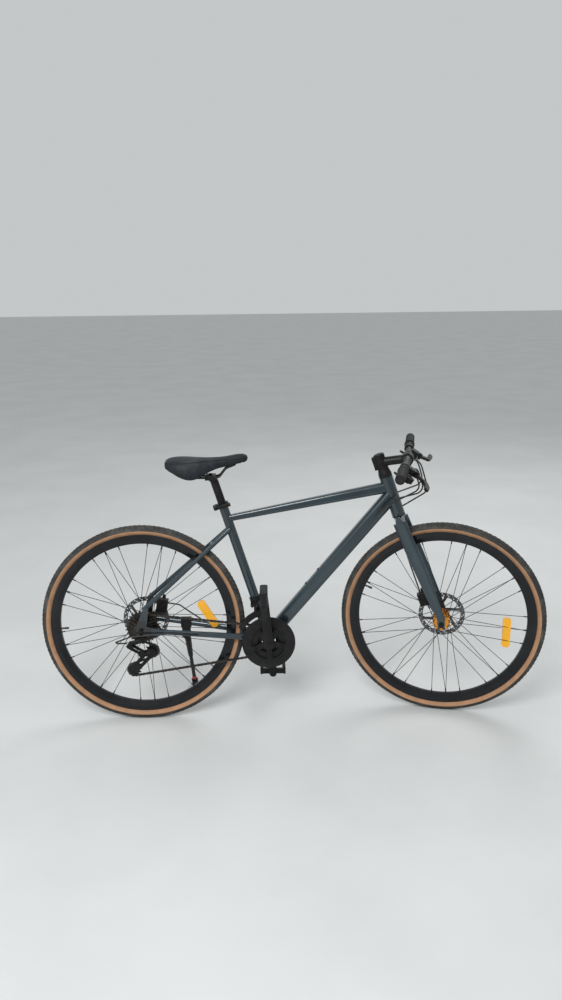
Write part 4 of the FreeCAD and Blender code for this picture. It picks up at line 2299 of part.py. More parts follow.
def build_brakes(forks):
    """Both calipers with their arms, the front one on the fork and the rear one on the chainstay."""
    document.recompute()
    places = (("front", front_rotor_centre(), front_axle, forks, True),
              ("rear", rear_rotor_centre(), rear_axle, chainstay(), False))
    for prefix, middle, wheel, carved, steered in places:
        tilt = value(f"{prefix}_caliper_tilt")
        foot_turn = Rotation(SIDE, -tilt) if steered else Rotation()
        foot = box(middle + point(f"{prefix}_foot"),
                   (f"{prefix}_foot_length", "caliper_foot_thickness", "caliper_foot_height"), foot_turn)
        node(f"{prefix}_caliper", caliper(middle, wheel, tilt, foot, carved), steered)
        node(f"{prefix}_caliper_arm", caliper_arm(middle, tilt), steered)


def build():
    build_wheel("front", front_axle, True)
    build_wheel("rear", rear_axle, False)
    node("main_frame", frame_tubes())
    stays = node("rear_triangle", rear_triangle())
    node("headset_bearings", headset())
    node("bracket_bearings", bracket_bearings())
    node("seat_clamp", seat_clamp())
    node("seat_clamp_lever", seat_clamp_lever())
    forks = node("fork", fork(), True)
    node("stem", stem(), True)
    node("stem_faceplate", faceplate(), True)
    node("handlebar", handlebar(), True)
    node("grips", grips(), True)
    node("brake_brackets", brake_brackets(), True)
    node("shifter_pods", shifter_pods(), True)
    for name, side in (("right", -1), ("left", 1)):
        node(f"{name}_brake_lever", brake_lever(side), True)
        node(f"{name}_shift_lever", shift_lever(side), True)
        node(f"{name}_crank_arm", crank_arm(side))
        node(f"{name}_pedal", pedal(side))
    node("seatpost", seatpost())
    rails = node("saddle_rails", saddle_rails())
    cover, base = saddle(rails.Shape)
    node("saddle_cover", cover)
    node("saddle_base", base)
    build_brakes(forks)
    node("stand_bracket", stand_bracket())
    node("stand_leg", stand_leg())
    node("chain", chain())
    node("cassette", cassette())
    node("chainrings", chainrings())
    node("chain_guard", chain_guard())
    node("crank_spindle", spindle())
    node("derailleur_knuckle", derailleur_knuckle())
    node("derailleur_link", derailleur_link())
    node("derailleur_body", derailleur_body())
    node("derailleur_cage", derailleur_cage())
    node("guide_pulley", pulley(guide_axis))
    node("tension_pulley", pulley(tension_axis))
    node("front_derailleur_bracket", front_derailleur_bracket())
    node("front_derailleur_cage", front_derailleur_cage())
    document.recompute()
    node("frame_cables", frame_cables(stays.Shape))
    node("front_brake_cable", front_brake_cable(), True)
    document.recompute()


def check_all():
    """Stops if any object failed or any piece is empty or broken."""
    failed = [item.Label for item in document.Objects if {"Invalid", "Error"} & set(item.State)]
    broken = [item.Label for item, steered in nodes if item.Shape.isNull() or not item.Shape.isValid()]
    if failed or broken:
        raise ValueError(f"failed: {failed}, broken: {broken}")


def stand_up():
    """Turns the front end, leans the bicycle and centres its footprint on the origin."""
    for item, steered in nodes:
        turn = standing.multiply(steering) if steered else standing
        item.Placement = turn.multiply(item.Placement)
    extent = FreeCAD.BoundBox()
    for item, steered in nodes:
        extent.add(item.Shape.optimalBoundingBox(False, False))
    shift = Vector(-extent.Center.x, -extent.Center.y, -extent.ZMin)
    for item, steered in nodes:
        item.Placement = Placement(shift, Rotation()).multiply(item.Placement)
    return shift


build()
check_all()
shift = stand_up()
os.makedirs("parts", exist_ok=True)
for item, steered in nodes:
    item.Shape.exportStep(f"parts/{item.Label}.step")
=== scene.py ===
import json
import math

import bpy
from bpy.props import FloatProperty, FloatVectorProperty, PointerProperty
from mathutils import Matrix, Vector


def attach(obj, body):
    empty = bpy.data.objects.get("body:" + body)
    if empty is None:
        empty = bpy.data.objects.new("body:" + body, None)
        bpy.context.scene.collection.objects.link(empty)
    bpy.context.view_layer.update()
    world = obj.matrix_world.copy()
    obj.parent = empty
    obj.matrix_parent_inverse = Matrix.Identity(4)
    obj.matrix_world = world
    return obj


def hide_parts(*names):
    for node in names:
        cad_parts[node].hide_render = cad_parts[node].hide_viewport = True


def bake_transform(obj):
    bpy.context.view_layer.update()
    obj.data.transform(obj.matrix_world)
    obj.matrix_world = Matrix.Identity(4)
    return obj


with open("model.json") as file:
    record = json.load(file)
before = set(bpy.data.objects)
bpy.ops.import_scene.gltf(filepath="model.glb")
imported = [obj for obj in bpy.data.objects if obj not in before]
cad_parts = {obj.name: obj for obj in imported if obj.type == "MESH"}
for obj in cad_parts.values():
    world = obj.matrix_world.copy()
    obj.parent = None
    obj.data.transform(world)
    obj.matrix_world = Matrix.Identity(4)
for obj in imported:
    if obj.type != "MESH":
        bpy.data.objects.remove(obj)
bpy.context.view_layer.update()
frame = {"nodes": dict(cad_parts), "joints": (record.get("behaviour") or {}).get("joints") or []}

bl_info = {
    "name": "Hybrid bicycle",
    "version": (1, 0, 0),
    "blender": (4, 5, 0),
    "location": "View3D > Sidebar > Bicycle",
    "description": "Finishes and fittings of a flat-bar hybrid bicycle on its side stand",
    "category": "Object",
}

JOINTS = {joint["name"]: joint for joint in frame["joints"]}
SIDE = Vector((0, 1, 0))


# Places of the upright bicycle, in metres from the rear axle.

FRONT_AXLE = Vector((1.033, 0, 0))
BRACKET = Vector((0.4305, 0, -0.055))
HEAD_ANGLE = math.radians(71)
HEAD_UP = Vector((-math.cos(HEAD_ANGLE), 0, math.sin(HEAD_ANGLE)))


def axes(first, second):
    """A turn whose Y axis is the first direction and whose Z axis leans to the second."""
    side = first.normalized()
    ahead = side.cross(second).normalized()
    return Matrix((ahead, side, ahead.cross(side))).transposed()


def joint_place(name):
    return Vector(JOINTS[name]["pos_m"])


def joint_axis(name):
    return Vector(JOINTS[name]["axis"])


def standing_frame():
    """The upright frame's place in the scene."""
    turn = axes(joint_axis("rear_wheel_spin"), joint_place("crank_spin") - joint_place("rear_wheel_spin"))
    upright = axes(SIDE, BRACKET)
    return Matrix.Translation(joint_place("rear_wheel_spin")) @ (turn @ upright.inverted()).to_4x4()


def standing_front():
    """The place of the front end, which is turned about the steering axis."""
    turn = axes(joint_axis("front_wheel_spin"), joint_axis("steering"))
    upright = axes(SIDE, HEAD_UP)
    back = Matrix.Translation(-FRONT_AXLE)
    return Matrix.Translation(joint_place("front_wheel_spin")) @ (turn @ upright.inverted()).to_4x4() @ back


FRAME_PLACE = standing_frame()
FRONT_PLACE = standing_front()


# Settings.

def colour(name, description, default):
    return FloatVectorProperty(name=name, description=description, subtype="COLOR", size=3,
                               min=0, max=1, default=default)


def length(name, description, default):
    return FloatProperty(name=name, description=description, subtype="DISTANCE", unit="LENGTH",
                         default=default)


class BicycleColours(bpy.types.PropertyGroup):
    """Colours of the finishes."""
    paint: colour("Frame paint", "Slate blue of the frame and fork", (0.018, 0.04, 0.054))
    paint_deep: colour("Frame paint in depth", "Darker cloud in the paint", (0.009, 0.022, 0.031))
    black_metal: colour("Black metal", "Anodised and painted fittings", (0.006, 0.006, 0.0066))
    rim: colour("Rim", "Black of the rims", (0.004, 0.0045, 0.006))
    tread: colour("Tread", "Rubber of the tread", (0.02, 0.021, 0.02))
    tan_wall: colour("Tan wall", "Band on the sidewalls", (0.43, 0.235, 0.13))
    amber: colour("Amber lens", "Spoke reflectors", (1.0, 0.47, 0.008))
    orange: colour("Orange metal", "Anodised hubs", (0.9, 0.36, 0.03))
    steel: colour("Steel", "Discs", (0.15, 0.15, 0.16))
    chain: colour("Chain", "Oiled chain and sprockets", (0.06, 0.057, 0.054))
    rubber: colour("Rubber", "Grips and cable housing", (0.006, 0.006, 0.0066))
    plastic: colour("Plastic", "Moulded fittings", (0.006, 0.006, 0.0066))
    saddle: colour("Saddle", "Cover of the saddle", (0.008, 0.0105, 0.0135))
    red: colour("Red band", "Band above the foot of the stand", (0.5, 0.02, 0.02))


class BicycleSizes(bpy.types.PropertyGroup):
    """Sizes of what is added to the frame."""
    saddle_voxel: length("Saddle voxel", "Cell of the saddle cover's mesh", 0.004)
    saddle_swell: length("Saddle swell", "How far the padding swells", 0.003)
    seam_radius: length("Seam radius", "Radius of the saddle's piping", 0.0011)
    band_radius: length("Band radius", "Inner radius of the red band on the stand", 0.0065)
    band_length: length("Band length", "Length of the red band on the stand", 0.016)
    block_length: length("Tread block length", "Length of a tread block along the tyre", 0.0095)
    block_width: length("Tread block width", "Width of a tread block", 0.0062)
    block_height: length("Tread block height", "Height of a tread block", 0.0011)
    block_sink: length("Tread block sink", "How deep a tread block sits in the tyre", 0.0005)
    # Painted shade: how far from the rear axle the dropouts are painted black, standing in for the shade they
    # sit in.
    dropout_painted_shade: length("Dropout black", "How far the dropouts are black from the rear axle", 0.036)
    tyre_radius: length("Tyre radius", "Radius over the tread", 0.349)
    band_inner: length("Band inner radius", "Where the tan wall starts", 0.3185)
    band_outer: length("Band outer radius", "Where the tan wall ends", 0.332)


class BicycleStage(bpy.types.PropertyGroup):
    """Floor, light and camera."""
    floor: colour("Floor", "Pale floor", (0.62, 0.63, 0.63))
    sky: colour("Backdrop", "Pale backdrop and soft light", (0.84, 0.87, 0.87))
    floor_size: length("Floor size", "Side of the floor", 60.0)
    lens: FloatProperty(name="Lens", description="Focal length on a 36 mm frame", default=28.32)


# Shader helpers.

class Shader:
    """A node tree with short ways to add and join nodes."""

    def __init__(self, tree):
        self.tree = tree
        self.nodes = tree.nodes

    def add(self, kind, values=None, **settings):
        node = self.nodes.new(kind)
        for name, value in settings.items():
            setattr(node, name, value)
        for name, value in (values or {}).items():
            self.feed(node.inputs[name], value)
        return node

    def feed(self, socket, value):
        if isinstance(value, bpy.types.NodeSocket):
            self.tree.links.new(value, socket)
        else:
            socket.default_value = value

    def math(self, operation, *values):
        node = self.nodes.new("ShaderNodeMath")
        node.operation = operation
        for socket, value in zip(node.inputs, values):
            self.feed(socket, value)
        return node.outputs[0]

    def noise(self, vector, scale, detail=3.0, roughness=0.5):
        node = self.add("ShaderNodeTexNoise", {"Vector": vector, "Scale": scale, "Detail": detail,
                                               "Roughness": roughness})
        return node.outputs["Fac"]

    def between(self, value, low, high, to_low=0.0, to_high=1.0, smooth=False):
        node = self.add("ShaderNodeMapRange", {"Value": value, "From Min": low, "From Max": high,
                                               "To Min": to_low, "To Max": to_high})
        node.interpolation_type = "SMOOTHSTEP" if smooth else "LINEAR"
        return node.outputs["Result"]

    def mix(self, factor, first, second):
        node = self.add("ShaderNodeMix", data_type="RGBA")
        for socket, value in zip((node.inputs[0], node.inputs[6], node.inputs[7]), (factor, first, second)):
            self.feed(socket, value)
        return node.outputs[2]


def opaque(values):
    return (*values, 1.0)


def toned(values, share):
    """The same colour, lighter or darker by a share."""
    return tuple(value * share for value in values)


def shader_group(name, inputs, outputs):
    """An empty shader group with its named sockets."""
    tree = bpy.data.node_groups.new(name, "ShaderNodeTree")
    for label, kind, default in inputs:
        socket = tree.interface.new_socket(label, in_out="INPUT", socket_type=kind)
        socket.default_value = default
    for label, kind in outputs:
        tree.interface.new_socket(label, in_out="OUTPUT", socket_type=kind)
    shader = Shader(tree)
    return shader, shader.add("NodeGroupInput"), shader.add("NodeGroupOutput")


def clouded_group():
    """Slow change between two colours with fine flecks, and the roughness that goes with it."""
    shader, given, out = shader_group("clouded_colour", [
        ("Vector", "NodeSocketVector", (0, 0, 0)), ("First", "NodeSocketColor", (1, 1, 1, 1)),
        ("Second", "NodeSocketColor", (0, 0, 0, 1)), ("Cloud Scale", "NodeSocketFloat", 6.0),
        ("Fleck Scale", "NodeSocketFloat", 900.0), ("Fleck", "NodeSocketFloat", 0.2),
        ("Smooth", "NodeSocketFloat", 0.3), ("Rough", "NodeSocketFloat", 0.4)],
        [("Color", "NodeSocketColor"), ("Roughness", "NodeSocketFloat"), ("Height", "NodeSocketFloat")])
    cloud = shader.noise(given.outputs["Vector"], given.outputs["Cloud Scale"], 4.0, 0.55)
    fleck = shader.noise(given.outputs["Vector"], given.outputs["Fleck Scale"], 1.0)
    fine = shader.math("MULTIPLY", shader.math("SUBTRACT", fleck, 0.5), given.outputs["Fleck"])
    blend = shader.math("ADD", shader.between(cloud, 0.3, 0.7, smooth=True), fine)
    shader.feed(out.inputs["Color"], shader.mix(blend, given.outputs["First"], given.outputs["Second"]))
    rough = shader.between(cloud, 0.25, 0.75, given.outputs["Smooth"], given.outputs["Rough"])
    shader.feed(out.inputs["Roughness"], shader.math("ADD", rough, shader.math("MULTIPLY", fine, 0.2)))
    shader.feed(out.inputs["Height"], fleck)
    return shader.tree


def dust_group():
    """Thin dust in patches."""
    shader, given, out = shader_group("road_dust", [
        ("Vector", "NodeSocketVector", (0, 0, 0)), ("Color", "NodeSocketColor", (0, 0, 0, 1)),
        ("Dust", "NodeSocketColor", (0.25, 0.22, 0.18, 1)), ("Amount", "NodeSocketFloat", 0.2),
        ("Roughness", "NodeSocketFloat", 0.4)],
        [("Color", "NodeSocketColor"), ("Roughness", "NodeSocketFloat")])
    patch = shader.between(shader.noise(given.outputs["Vector"], 18.0, 6.0, 0.65), 0.42, 0.75, smooth=True)
    mask = shader.math("MULTIPLY", patch, given.outputs["Amount"])
    shader.feed(out.inputs["Color"], shader.mix(mask, given.outputs["Color"], given.outputs["Dust"]))
    dulled = shader.math("ADD", given.outputs["Roughness"], shader.math("MULTIPLY", mask, 0.5))
    shader.feed(out.inputs["Roughness"], dulled)
    return shader.tree


def wheel_group():
    """Distance from a wheel's axle, turn round it and distance from its middle plane."""
    shader, given, out = shader_group("wheel_places", [("Vector", "NodeSocketVector", (0, 0, 0))], [
        ("Radius", "NodeSocketFloat"), ("Turn", "NodeSocketFloat"), ("Across", "NodeSocketFloat")])
    parts = shader.add("ShaderNodeSeparateXYZ", {"Vector": given.outputs["Vector"]})
    squares = [shader.math("POWER", parts.outputs[label], 2.0) for label in ("X", "Z")]
    shader.feed(out.inputs["Radius"], shader.math("SQRT", shader.math("ADD", *squares)))
    shader.feed(out.inputs["Turn"], shader.math("ARCTAN2", parts.outputs["Z"], parts.outputs["X"]))
    shader.feed(out.inputs["Across"], shader.math("ABSOLUTE", parts.outputs["Y"]))
    return shader.tree


class Finish(Shader):
    """A material with one principled shader, object coordinates and the shared groups."""

    def __init__(self, name, centre=None, axis=None, **constants):
        self.material = bpy.data.materials.new(name)
        self.material.use_nodes = True
        super().__init__(self.material.node_tree)
        self.surface = self.nodes["Principled BSDF"]
        for label, value in constants.items():
            self.surface.inputs[label.replace("_", " ").title().replace("Ior", "IOR")].default_value = value
        self.place = self.add("ShaderNodeTexCoord").outputs["Object"]
        if centre is not None:
            turn = axis.rotation_difference(SIDE)
            moved = self.add("ShaderNodeMapping", {"Vector": self.place, "Location": -(turn @ centre),
                                                  "Rotation": turn.to_euler()})
            self.place = moved.outputs["Vector"]

    def group(self, name, **values):
        node = self.add("ShaderNodeGroup", node_tree=bpy.data.node_groups[name])
        for label, value in values.items():
            self.feed(node.inputs[label.replace("_", " ").title()], value)
        return node

    def clouded(self, first, second, **values):
        node = self.group("clouded_colour", vector=self.place, first=opaque(first), second=opaque(second),
                          **values)
        self.fleck = node.outputs["Height"]
        return node.outputs["Color"], node.outputs["Roughness"]

    def two_toned(self, base, share, **values):
        """A colour that drifts to a lighter or darker tone of itself."""
        return self.clouded(base, toned(base, share), **values)

    def dusted(self, shade, rough, amount, dust=(0.25, 0.23, 0.2)):
        node = self.group("road_dust", vector=self.place, color=shade, roughness=rough, amount=amount,
                          dust=opaque(dust))
        return node.outputs["Color"], node.outputs["Roughness"]

    def colour(self, shade, rough):
        self.feed(self.surface.inputs["Base Color"], shade)
        self.feed(self.surface.inputs["Roughness"], rough)
        return self

    def bump(self, height, distance, strength=1.0):
        node = self.add("ShaderNodeBump", {"Height": height, "Distance": distance, "Strength": strength})
        self.feed(self.surface.inputs["Normal"], node.outputs["Normal"])
        return self


# Marks in the finishes. Lengths are metres; lines, slants and rings scale a place before a wave or noise.

PAINT_COAT = {"metallic": 0.4, "coat_weight": 0.9, "coat_roughness": 0.06}
PAINT_GRAIN = {"distance": 0.00004, "strength": 0.3}
# Width of the soft edge of the dropouts' painted shade.
DROPOUT_SHADE_EDGE = 0.003
BAND_EDGE = 0.0006
CROWN_START = 0.009
CROWN_END = 0.006
RIB_EDGES = (0.0024, 0.0034)
SIPE_LINES = 150.0
SIPE_SLANT = 420.0
SIPE_EDGES = (-0.75, -0.45)
THREAD_LINES = 900.0
THREAD_SLANT = 8.0
THREAD_HEIGHT = 0.02
LIP_HEIGHT = -0.25
RIM_LINES = 1400.0
DISC_LINES = 2600.0
SWEPT_EDGES = (0.0655, 0.067)
SWEPT_SHARE = 0.5
GRIP_RINGS = 1250.0
GRIP_EDGES = (-0.6, 0.2)
CHAIN_DIRT = (0.12, 0.09, 0.06)


# Finishes.

def painted(finish, colours):
    """The slate paint's colour and roughness."""
    shade, rough = finish.clouded(colours.paint, colours.paint_deep, cloud_scale=3.0, fleck_scale=2600.0,
                                  fleck=0.5, smooth=0.26, rough=0.34)
    return finish.dusted(shade, rough, amount=0.04)


def paint_finish(colours):
    """Satin metallic paint under a clear coat."""
    finish = Finish("slate_paint", **PAINT_COAT)
    return finish.colour(*painted(finish, colours)).bump(finish.fleck, **PAINT_GRAIN)


def stay_finish(colours, sizes):
    """The same paint, with painted shade round the rear axle: the dropouts are made black for the shade they
    sit in.
    """
    spin = "rear_wheel_spin"
    finish = Finish("stay_paint_dropout_shade", joint_place(spin), joint_axis(spin), **PAINT_COAT)
    shade, rough = painted(finish, colours)
    radius = finish.group("wheel_places", vector=finish.place).outputs["Radius"]
    # Painted shade: black over the dropouts near the rear axle, for the shade they sit in.
    away = finish.between(radius, sizes.dropout_painted_shade, sizes.dropout_painted_shade + DROPOUT_SHADE_EDGE, smooth=True)
    shade = finish.mix(away, opaque(colours.black_metal), shade)
    return finish.colour(shade, rough).bump(finish.fleck, **PAINT_GRAIN)


def black_metal_finish(colours):
    """Bead blasted black anodising, a little greyer in patches."""
    finish = Finish("black_anodised", metallic=0.2, specular_ior_level=0.25)
    shade, rough = finish.two_toned(colours.black_metal, 1.9, cloud_scale=30.0, fleck_scale=3200.0,
                                    fleck=0.35, smooth=0.34, rough=0.5)
    shade, rough = finish.dusted(shade, rough, amount=0.04)
    return finish.colour(shade, rough).bump(finish.fleck, distance=0.00005, strength=0.4)


def rim_finish(colours, spin, name):
    """Gloss black rim with turned lines that run round it."""
    finish = Finish(name, joint_place(spin), joint_axis(spin), specular_ior_level=0.25, coat_weight=0.15,
                    coat_roughness=0.04)
    shade, rough = finish.two_toned(colours.rim, 1.6, cloud_scale=9.0, fleck_scale=1800.0,
                                    fleck=0.2, smooth=0.16, rough=0.26)
    radius = finish.group("wheel_places", vector=finish.place).outputs["Radius"]
    turned = finish.noise(finish.math("MULTIPLY", radius, RIM_LINES), scale=1.0, detail=1.0)
    shade, rough = finish.dusted(shade, rough, amount=0.02)
    return finish.colour(shade, rough).bump(turned, distance=0.00002, strength=0.25)


def tread_finish(colours):
    """Dusty rubber of the tread blocks."""
    finish = Finish("tread_rubber", specular_ior_level=0.3)
    shade, rough = finish.two_toned(colours.tread, 1.5, cloud_scale=20.0, fleck_scale=900.0,
                                    fleck=0.25, smooth=0.62, rough=0.8)
    shade, rough = finish.dusted(shade, rough, amount=0.35)
    return finish.colour(shade, rough).bump(finish.fleck, distance=0.00008, strength=0.5)


def band_finish(colours):
    """Worn red plastic."""
    finish = Finish("red_band", specular_ior_level=0.4)
    shade, rough = finish.two_toned(colours.red, 0.6, cloud_scale=60.0, fleck_scale=1400.0,
                                    fleck=0.3, smooth=0.4, rough=0.6)
    shade, rough = finish.dusted(shade, rough, amount=0.2)
    return finish.colour(shade, rough).bump(finish.fleck, distance=0.00006, strength=0.4)


def tyre_finish(colours, sizes, spin, name):
    """Black tread with slanted sipes, and a tan band with fine casing threads on the wall."""
    finish = Finish(name, joint_place(spin), joint_axis(spin), specular_ior_level=0.35)
    places = finish.group("wheel_places", vector=finish.place)
    radius, turn, across = (places.outputs[label] for label in ("Radius", "Turn", "Across"))
    start = finish.between(radius, sizes.band_inner - BAND_EDGE, sizes.band_inner + BAND_EDGE, smooth=True)
    end = finish.between(radius, sizes.band_outer - BAND_EDGE, sizes.band_outer + BAND_EDGE,
                         to_low=1.0, to_high=0.0, smooth=True)
    band = finish.math("MULTIPLY", start, end)
    black, rough = finish.two_toned(colours.tread, 1.5, cloud_scale=14.0, fleck_scale=900.0,
                                    fleck=0.25, smooth=0.62, rough=0.8)
    black, rough = finish.dusted(black, rough, amount=0.3)
    stain = finish.between(finish.noise(finish.place, scale=40.0, detail=5.0, roughness=0.6), 0.3, 0.75)
    tan = finish.mix(stain, opaque(colours.tan_wall), opaque(toned(colours.tan_wall, 0.72)))
    slant = finish.math("ADD", finish.math("MULTIPLY", turn, SIPE_LINES),
                        finish.math("MULTIPLY", across, SIPE_SLANT))
    sipes = finish.between(finish.math("SINE", slant), *SIPE_EDGES, smooth=True)
    crown = finish.between(radius, sizes.tyre_radius - CROWN_START, sizes.tyre_radius - CROWN_END,
                           smooth=True)
    middle = finish.between(across, *RIB_EDGES, smooth=True)
    cut = finish.math("SUBTRACT", 1.0, finish.math("MULTIPLY", sipes, middle))
    tread = finish.math("SUBTRACT", 1.0, finish.math("MULTIPLY", crown, cut))
    drift = finish.math("ADD", turn, finish.math("MULTIPLY", radius, THREAD_SLANT))
    weave = finish.math("SINE", finish.math("MULTIPLY", drift, THREAD_LINES))
    threads = finish.math("MULTIPLY", weave, THREAD_HEIGHT)
    lip = finish.math("MULTIPLY", band, LIP_HEIGHT)
    height = finish.math("ADD", finish.math("ADD", tread, threads), lip)
    return finish.colour(finish.mix(band, black, tan), rough).bump(height, distance=0.0012, strength=0.8)


def disc_finish(colours, spin, name):
    """Steel ground round the axle, a little lighter on the swept track."""
    finish = Finish(name, joint_place(spin), joint_axis(spin), metallic=0.95)
    radius = finish.group("wheel_places", vector=finish.place).outputs["Radius"]
    ground = finish.noise(finish.math("MULTIPLY", radius, DISC_LINES), scale=1.0, detail=2.0)
    swept = finish.math("MULTIPLY", finish.between(radius, *SWEPT_EDGES, smooth=True), SWEPT_SHARE)
    shade = finish.mix(swept, opaque(toned(colours.steel, 0.7)), opaque(colours.steel))
    rough = finish.between(ground, 0.3, 0.7, to_low=0.26, to_high=0.42)
    shade, rough = finish.dusted(shade, rough, amount=0.12)
    return finish.colour(shade, rough).bump(ground, distance=0.00004, strength=0.4)


def chain_finish(colours):
    """Dark oiled steel with dirt in patches."""
    finish = Finish("oiled_steel", metallic=0.85)
    shade, rough = finish.two_toned(colours.chain, 0.4, cloud_scale=60.0, fleck_scale=1500.0,
                                    fleck=0.4, smooth=0.28, rough=0.5)
    shade, rough = finish.dusted(shade, rough, amount=0.25, dust=CHAIN_DIRT)
    return finish.colour(shade, rough).bump(finish.fleck, distance=0.00005, strength=0.4)


def bright_finish(colours):
    """Zinc plate of the bottom bracket's cups."""
    finish = Finish("zinc_plate", metallic=0.95)
    shade, rough = finish.two_toned(colours.steel, 0.6, cloud_scale=70.0, fleck_scale=1800.0,
                                    fleck=0.3, smooth=0.24, rough=0.42)
    shade, rough = finish.dusted(shade, rough, amount=0.15)
    return finish.colour(shade, rough).bump(finish.fleck, distance=0.00004, strength=0.3)


def orange_finish(colours):
    """Orange anodised hubs."""
    finish = Finish("orange_anodised", metallic=0.75, coat_weight=0.3, coat_roughness=0.15)
    shade, rough = finish.two_toned(colours.orange, 0.7, cloud_scale=40.0, fleck_scale=2400.0,
                                    fleck=0.3, smooth=0.24, rough=0.36)
    shade, rough = finish.dusted(shade, rough, amount=0.08)
    return finish.colour(shade, rough).bump(finish.fleck, distance=0.00003, strength=0.3)


def lens_finish(colours):
    """Moulded amber lens with small prisms under a gloss face."""
    finish = Finish("amber_lens", coat_weight=0.5, coat_roughness=0.08, specular_ior_level=0.4)
    prisms = finish.add("ShaderNodeTexVoronoi", {"Vector": finish.place, "Scale": 330.0}, feature="F1")
    facet = finish.between(prisms.outputs["Distance"], 0.0, 0.7)
    shade = finish.mix(facet, opaque(colours.amber), opaque(toned(colours.amber, 0.8)))
    rough = finish.between(facet, 0.0, 1.0, to_low=0.18, to_high=0.32)
    return finish.colour(shade, rough).bump(facet, distance=0.0006, strength=0.7)


def grip_finish(colours):
    """Soft rubber with rings along the bar."""
    finish = Finish("grip_rubber", joint_place("steering"), joint_axis("front_wheel_spin"),
                    specular_ior_level=0.2)
    shade, rough = finish.two_toned(colours.rubber, 1.8, cloud_scale=40.0, fleck_scale=1600.0,
                                    fleck=0.4, smooth=0.62, rough=0.8)
    across = finish.group("wheel_places", vector=finish.place).outputs["Across"]
    wave = finish.math("SINE", finish.math("MULTIPLY", across, GRIP_RINGS))
    rings = finish.between(wave, *GRIP_EDGES, smooth=True)
    shade, rough = finish.dusted(shade, rough, amount=0.1)
    return finish.colour(shade, rough).bump(rings, distance=0.0008, strength=0.8)


def housing_finish(colours):
    """Smooth plastic coat of the cables."""
    finish = Finish("cable_housing", specular_ior_level=0.45)
    shade, rough = finish.two_toned(colours.rubber, 1.6, cloud_scale=50.0, fleck_scale=900.0,
                                    fleck=0.2, smooth=0.34, rough=0.5)
    shade, rough = finish.dusted(shade, rough, amount=0.1)
    return finish.colour(shade, rough).bump(finish.fleck, distance=0.00004, strength=0.3)


def plastic_finish(colours):
    """Moulded black plastic with a fine spark texture."""
    finish = Finish("moulded_plastic", specular_ior_level=0.22)
    shade, rough = finish.two_toned(colours.plastic, 1.7, cloud_scale=25.0, fleck_scale=1400.0,
                                    fleck=0.3, smooth=0.46, rough=0.62)
    shade, rough = finish.dusted(shade, rough, amount=0.05)
    return finish.colour(shade, rough).bump(finish.fleck, distance=0.00012, strength=0.6)


def saddle_finish(colours):
    """Grained cover."""
    finish = Finish("saddle_cover_grain", specular_ior_level=0.22)
    shade, rough = finish.two_toned(colours.saddle, 1.9, cloud_scale=22.0, fleck_scale=700.0,
                                    fleck=0.3, smooth=0.4, rough=0.56)
    cells = finish.add("ShaderNodeTexVoronoi", {"Vector": finish.place, "Scale": 620.0},
                       feature="DISTANCE_TO_EDGE")
    grain = finish.between(cells.outputs["Distance"], 0.0, 0.12, smooth=True)
    shade, rough = finish.dusted(shade, rough, amount=0.12)
    return finish.colour(shade, rough).bump(grain, distance=0.00022, strength=0.7)


FINISHES = {
    "slate_paint": ["main_frame", "fork"],
    "stay_paint_dropout_shade": ["rear_triangle"],
    "black_anodised": [
        "stem", "stem_faceplate", "handlebar", "seatpost", "seat_clamp", "seat_clamp_lever",
        "headset_bearings", "right_crank_arm", "left_crank_arm", "brake_brackets", "right_brake_lever",
        "left_brake_lever", "front_caliper", "rear_caliper", "front_caliper_arm", "rear_caliper_arm",
        "front_spokes", "rear_spokes", "stand_bracket", "stand_leg", "derailleur_knuckle",
        "derailleur_link", "derailleur_body", "derailleur_cage", "front_derailleur_bracket",
        "front_derailleur_cage", "saddle_rails", "chainrings", "crank_spindle", "front_axle", "rear_axle"],
    "oiled_steel": ["chain", "cassette"],
    "zinc_plate": ["bracket_bearings"],
    "orange_anodised": ["front_hub", "rear_hub"],
    "amber_lens": ["front_reflector", "rear_reflector"],
    "grip_rubber": ["grips"],
    "cable_housing": ["frame_cables", "front_brake_cable"],
    "moulded_plastic": [
        "shifter_pods", "right_shift_lever", "left_shift_lever", "right_pedal", "left_pedal",
        "chain_guard", "guide_pulley", "tension_pulley", "saddle_base"],
    "saddle_cover_grain": ["saddle_cover"],
    "front_rim_black": ["front_rim"],
    "rear_rim_black": ["rear_rim"],
    "front_tyre_rubber": ["front_tyre"],
    "rear_tyre_rubber": ["rear_tyre"],
    "front_disc_steel": ["front_rotor"],
    "rear_disc_steel": ["rear_rotor"],
}


def wear(item, name):
    """Gives an object one finish."""
    item.data.materials.clear()
    item.data.materials.append(bpy.data.materials[name])


# Modelling helpers.

SMOOTH_ANGLE = math.radians(32)
MERGE_DISTANCE = 0.00001


def alone(item):
    """Makes one object the only selected and the active one."""
    bpy.ops.object.select_all(action="DESELECT")
    item.select_set(True)
    bpy.context.view_layer.objects.active = item
    return item


def modified(item, kind, **values):
    """Adds a modifier to the object and applies it."""
    alone(item)
    modifier = item.modifiers.new(kind.lower(), kind)
    for name, value in values.items():
        setattr(modifier, name, value)
    bpy.ops.object.modifier_apply(modifier=modifier.name)
    return item


def edited(item, operator, **values):
    """Runs one mesh operator on the whole of an object."""
    alone(item)
    bpy.ops.object.mode_set(mode="EDIT")
    bpy.ops.mesh.select_all(action="SELECT")
    operator(**values)
    bpy.ops.object.mode_set(mode="OBJECT")
    return item


def smoothed(item):
    """Shades an object smooth, apart from its sharp edges."""
    alone(item)
    bpy.ops.object.shade_smooth_by_angle(angle=SMOOTH_ANGLE)
    return item


def added(name, mesh):
    """A new object with its own copy of a mesh."""
    item = bpy.data.objects.new(name, mesh.copy())
    bpy.context.scene.collection.objects.link(item)
    return item


def copied(node, name):
    """A merged copy of a node's mesh as a new piece."""
    item = added(name, frame["nodes"][node].data)
    return edited(item, bpy.ops.mesh.remove_doubles, threshold=MERGE_DISTANCE)


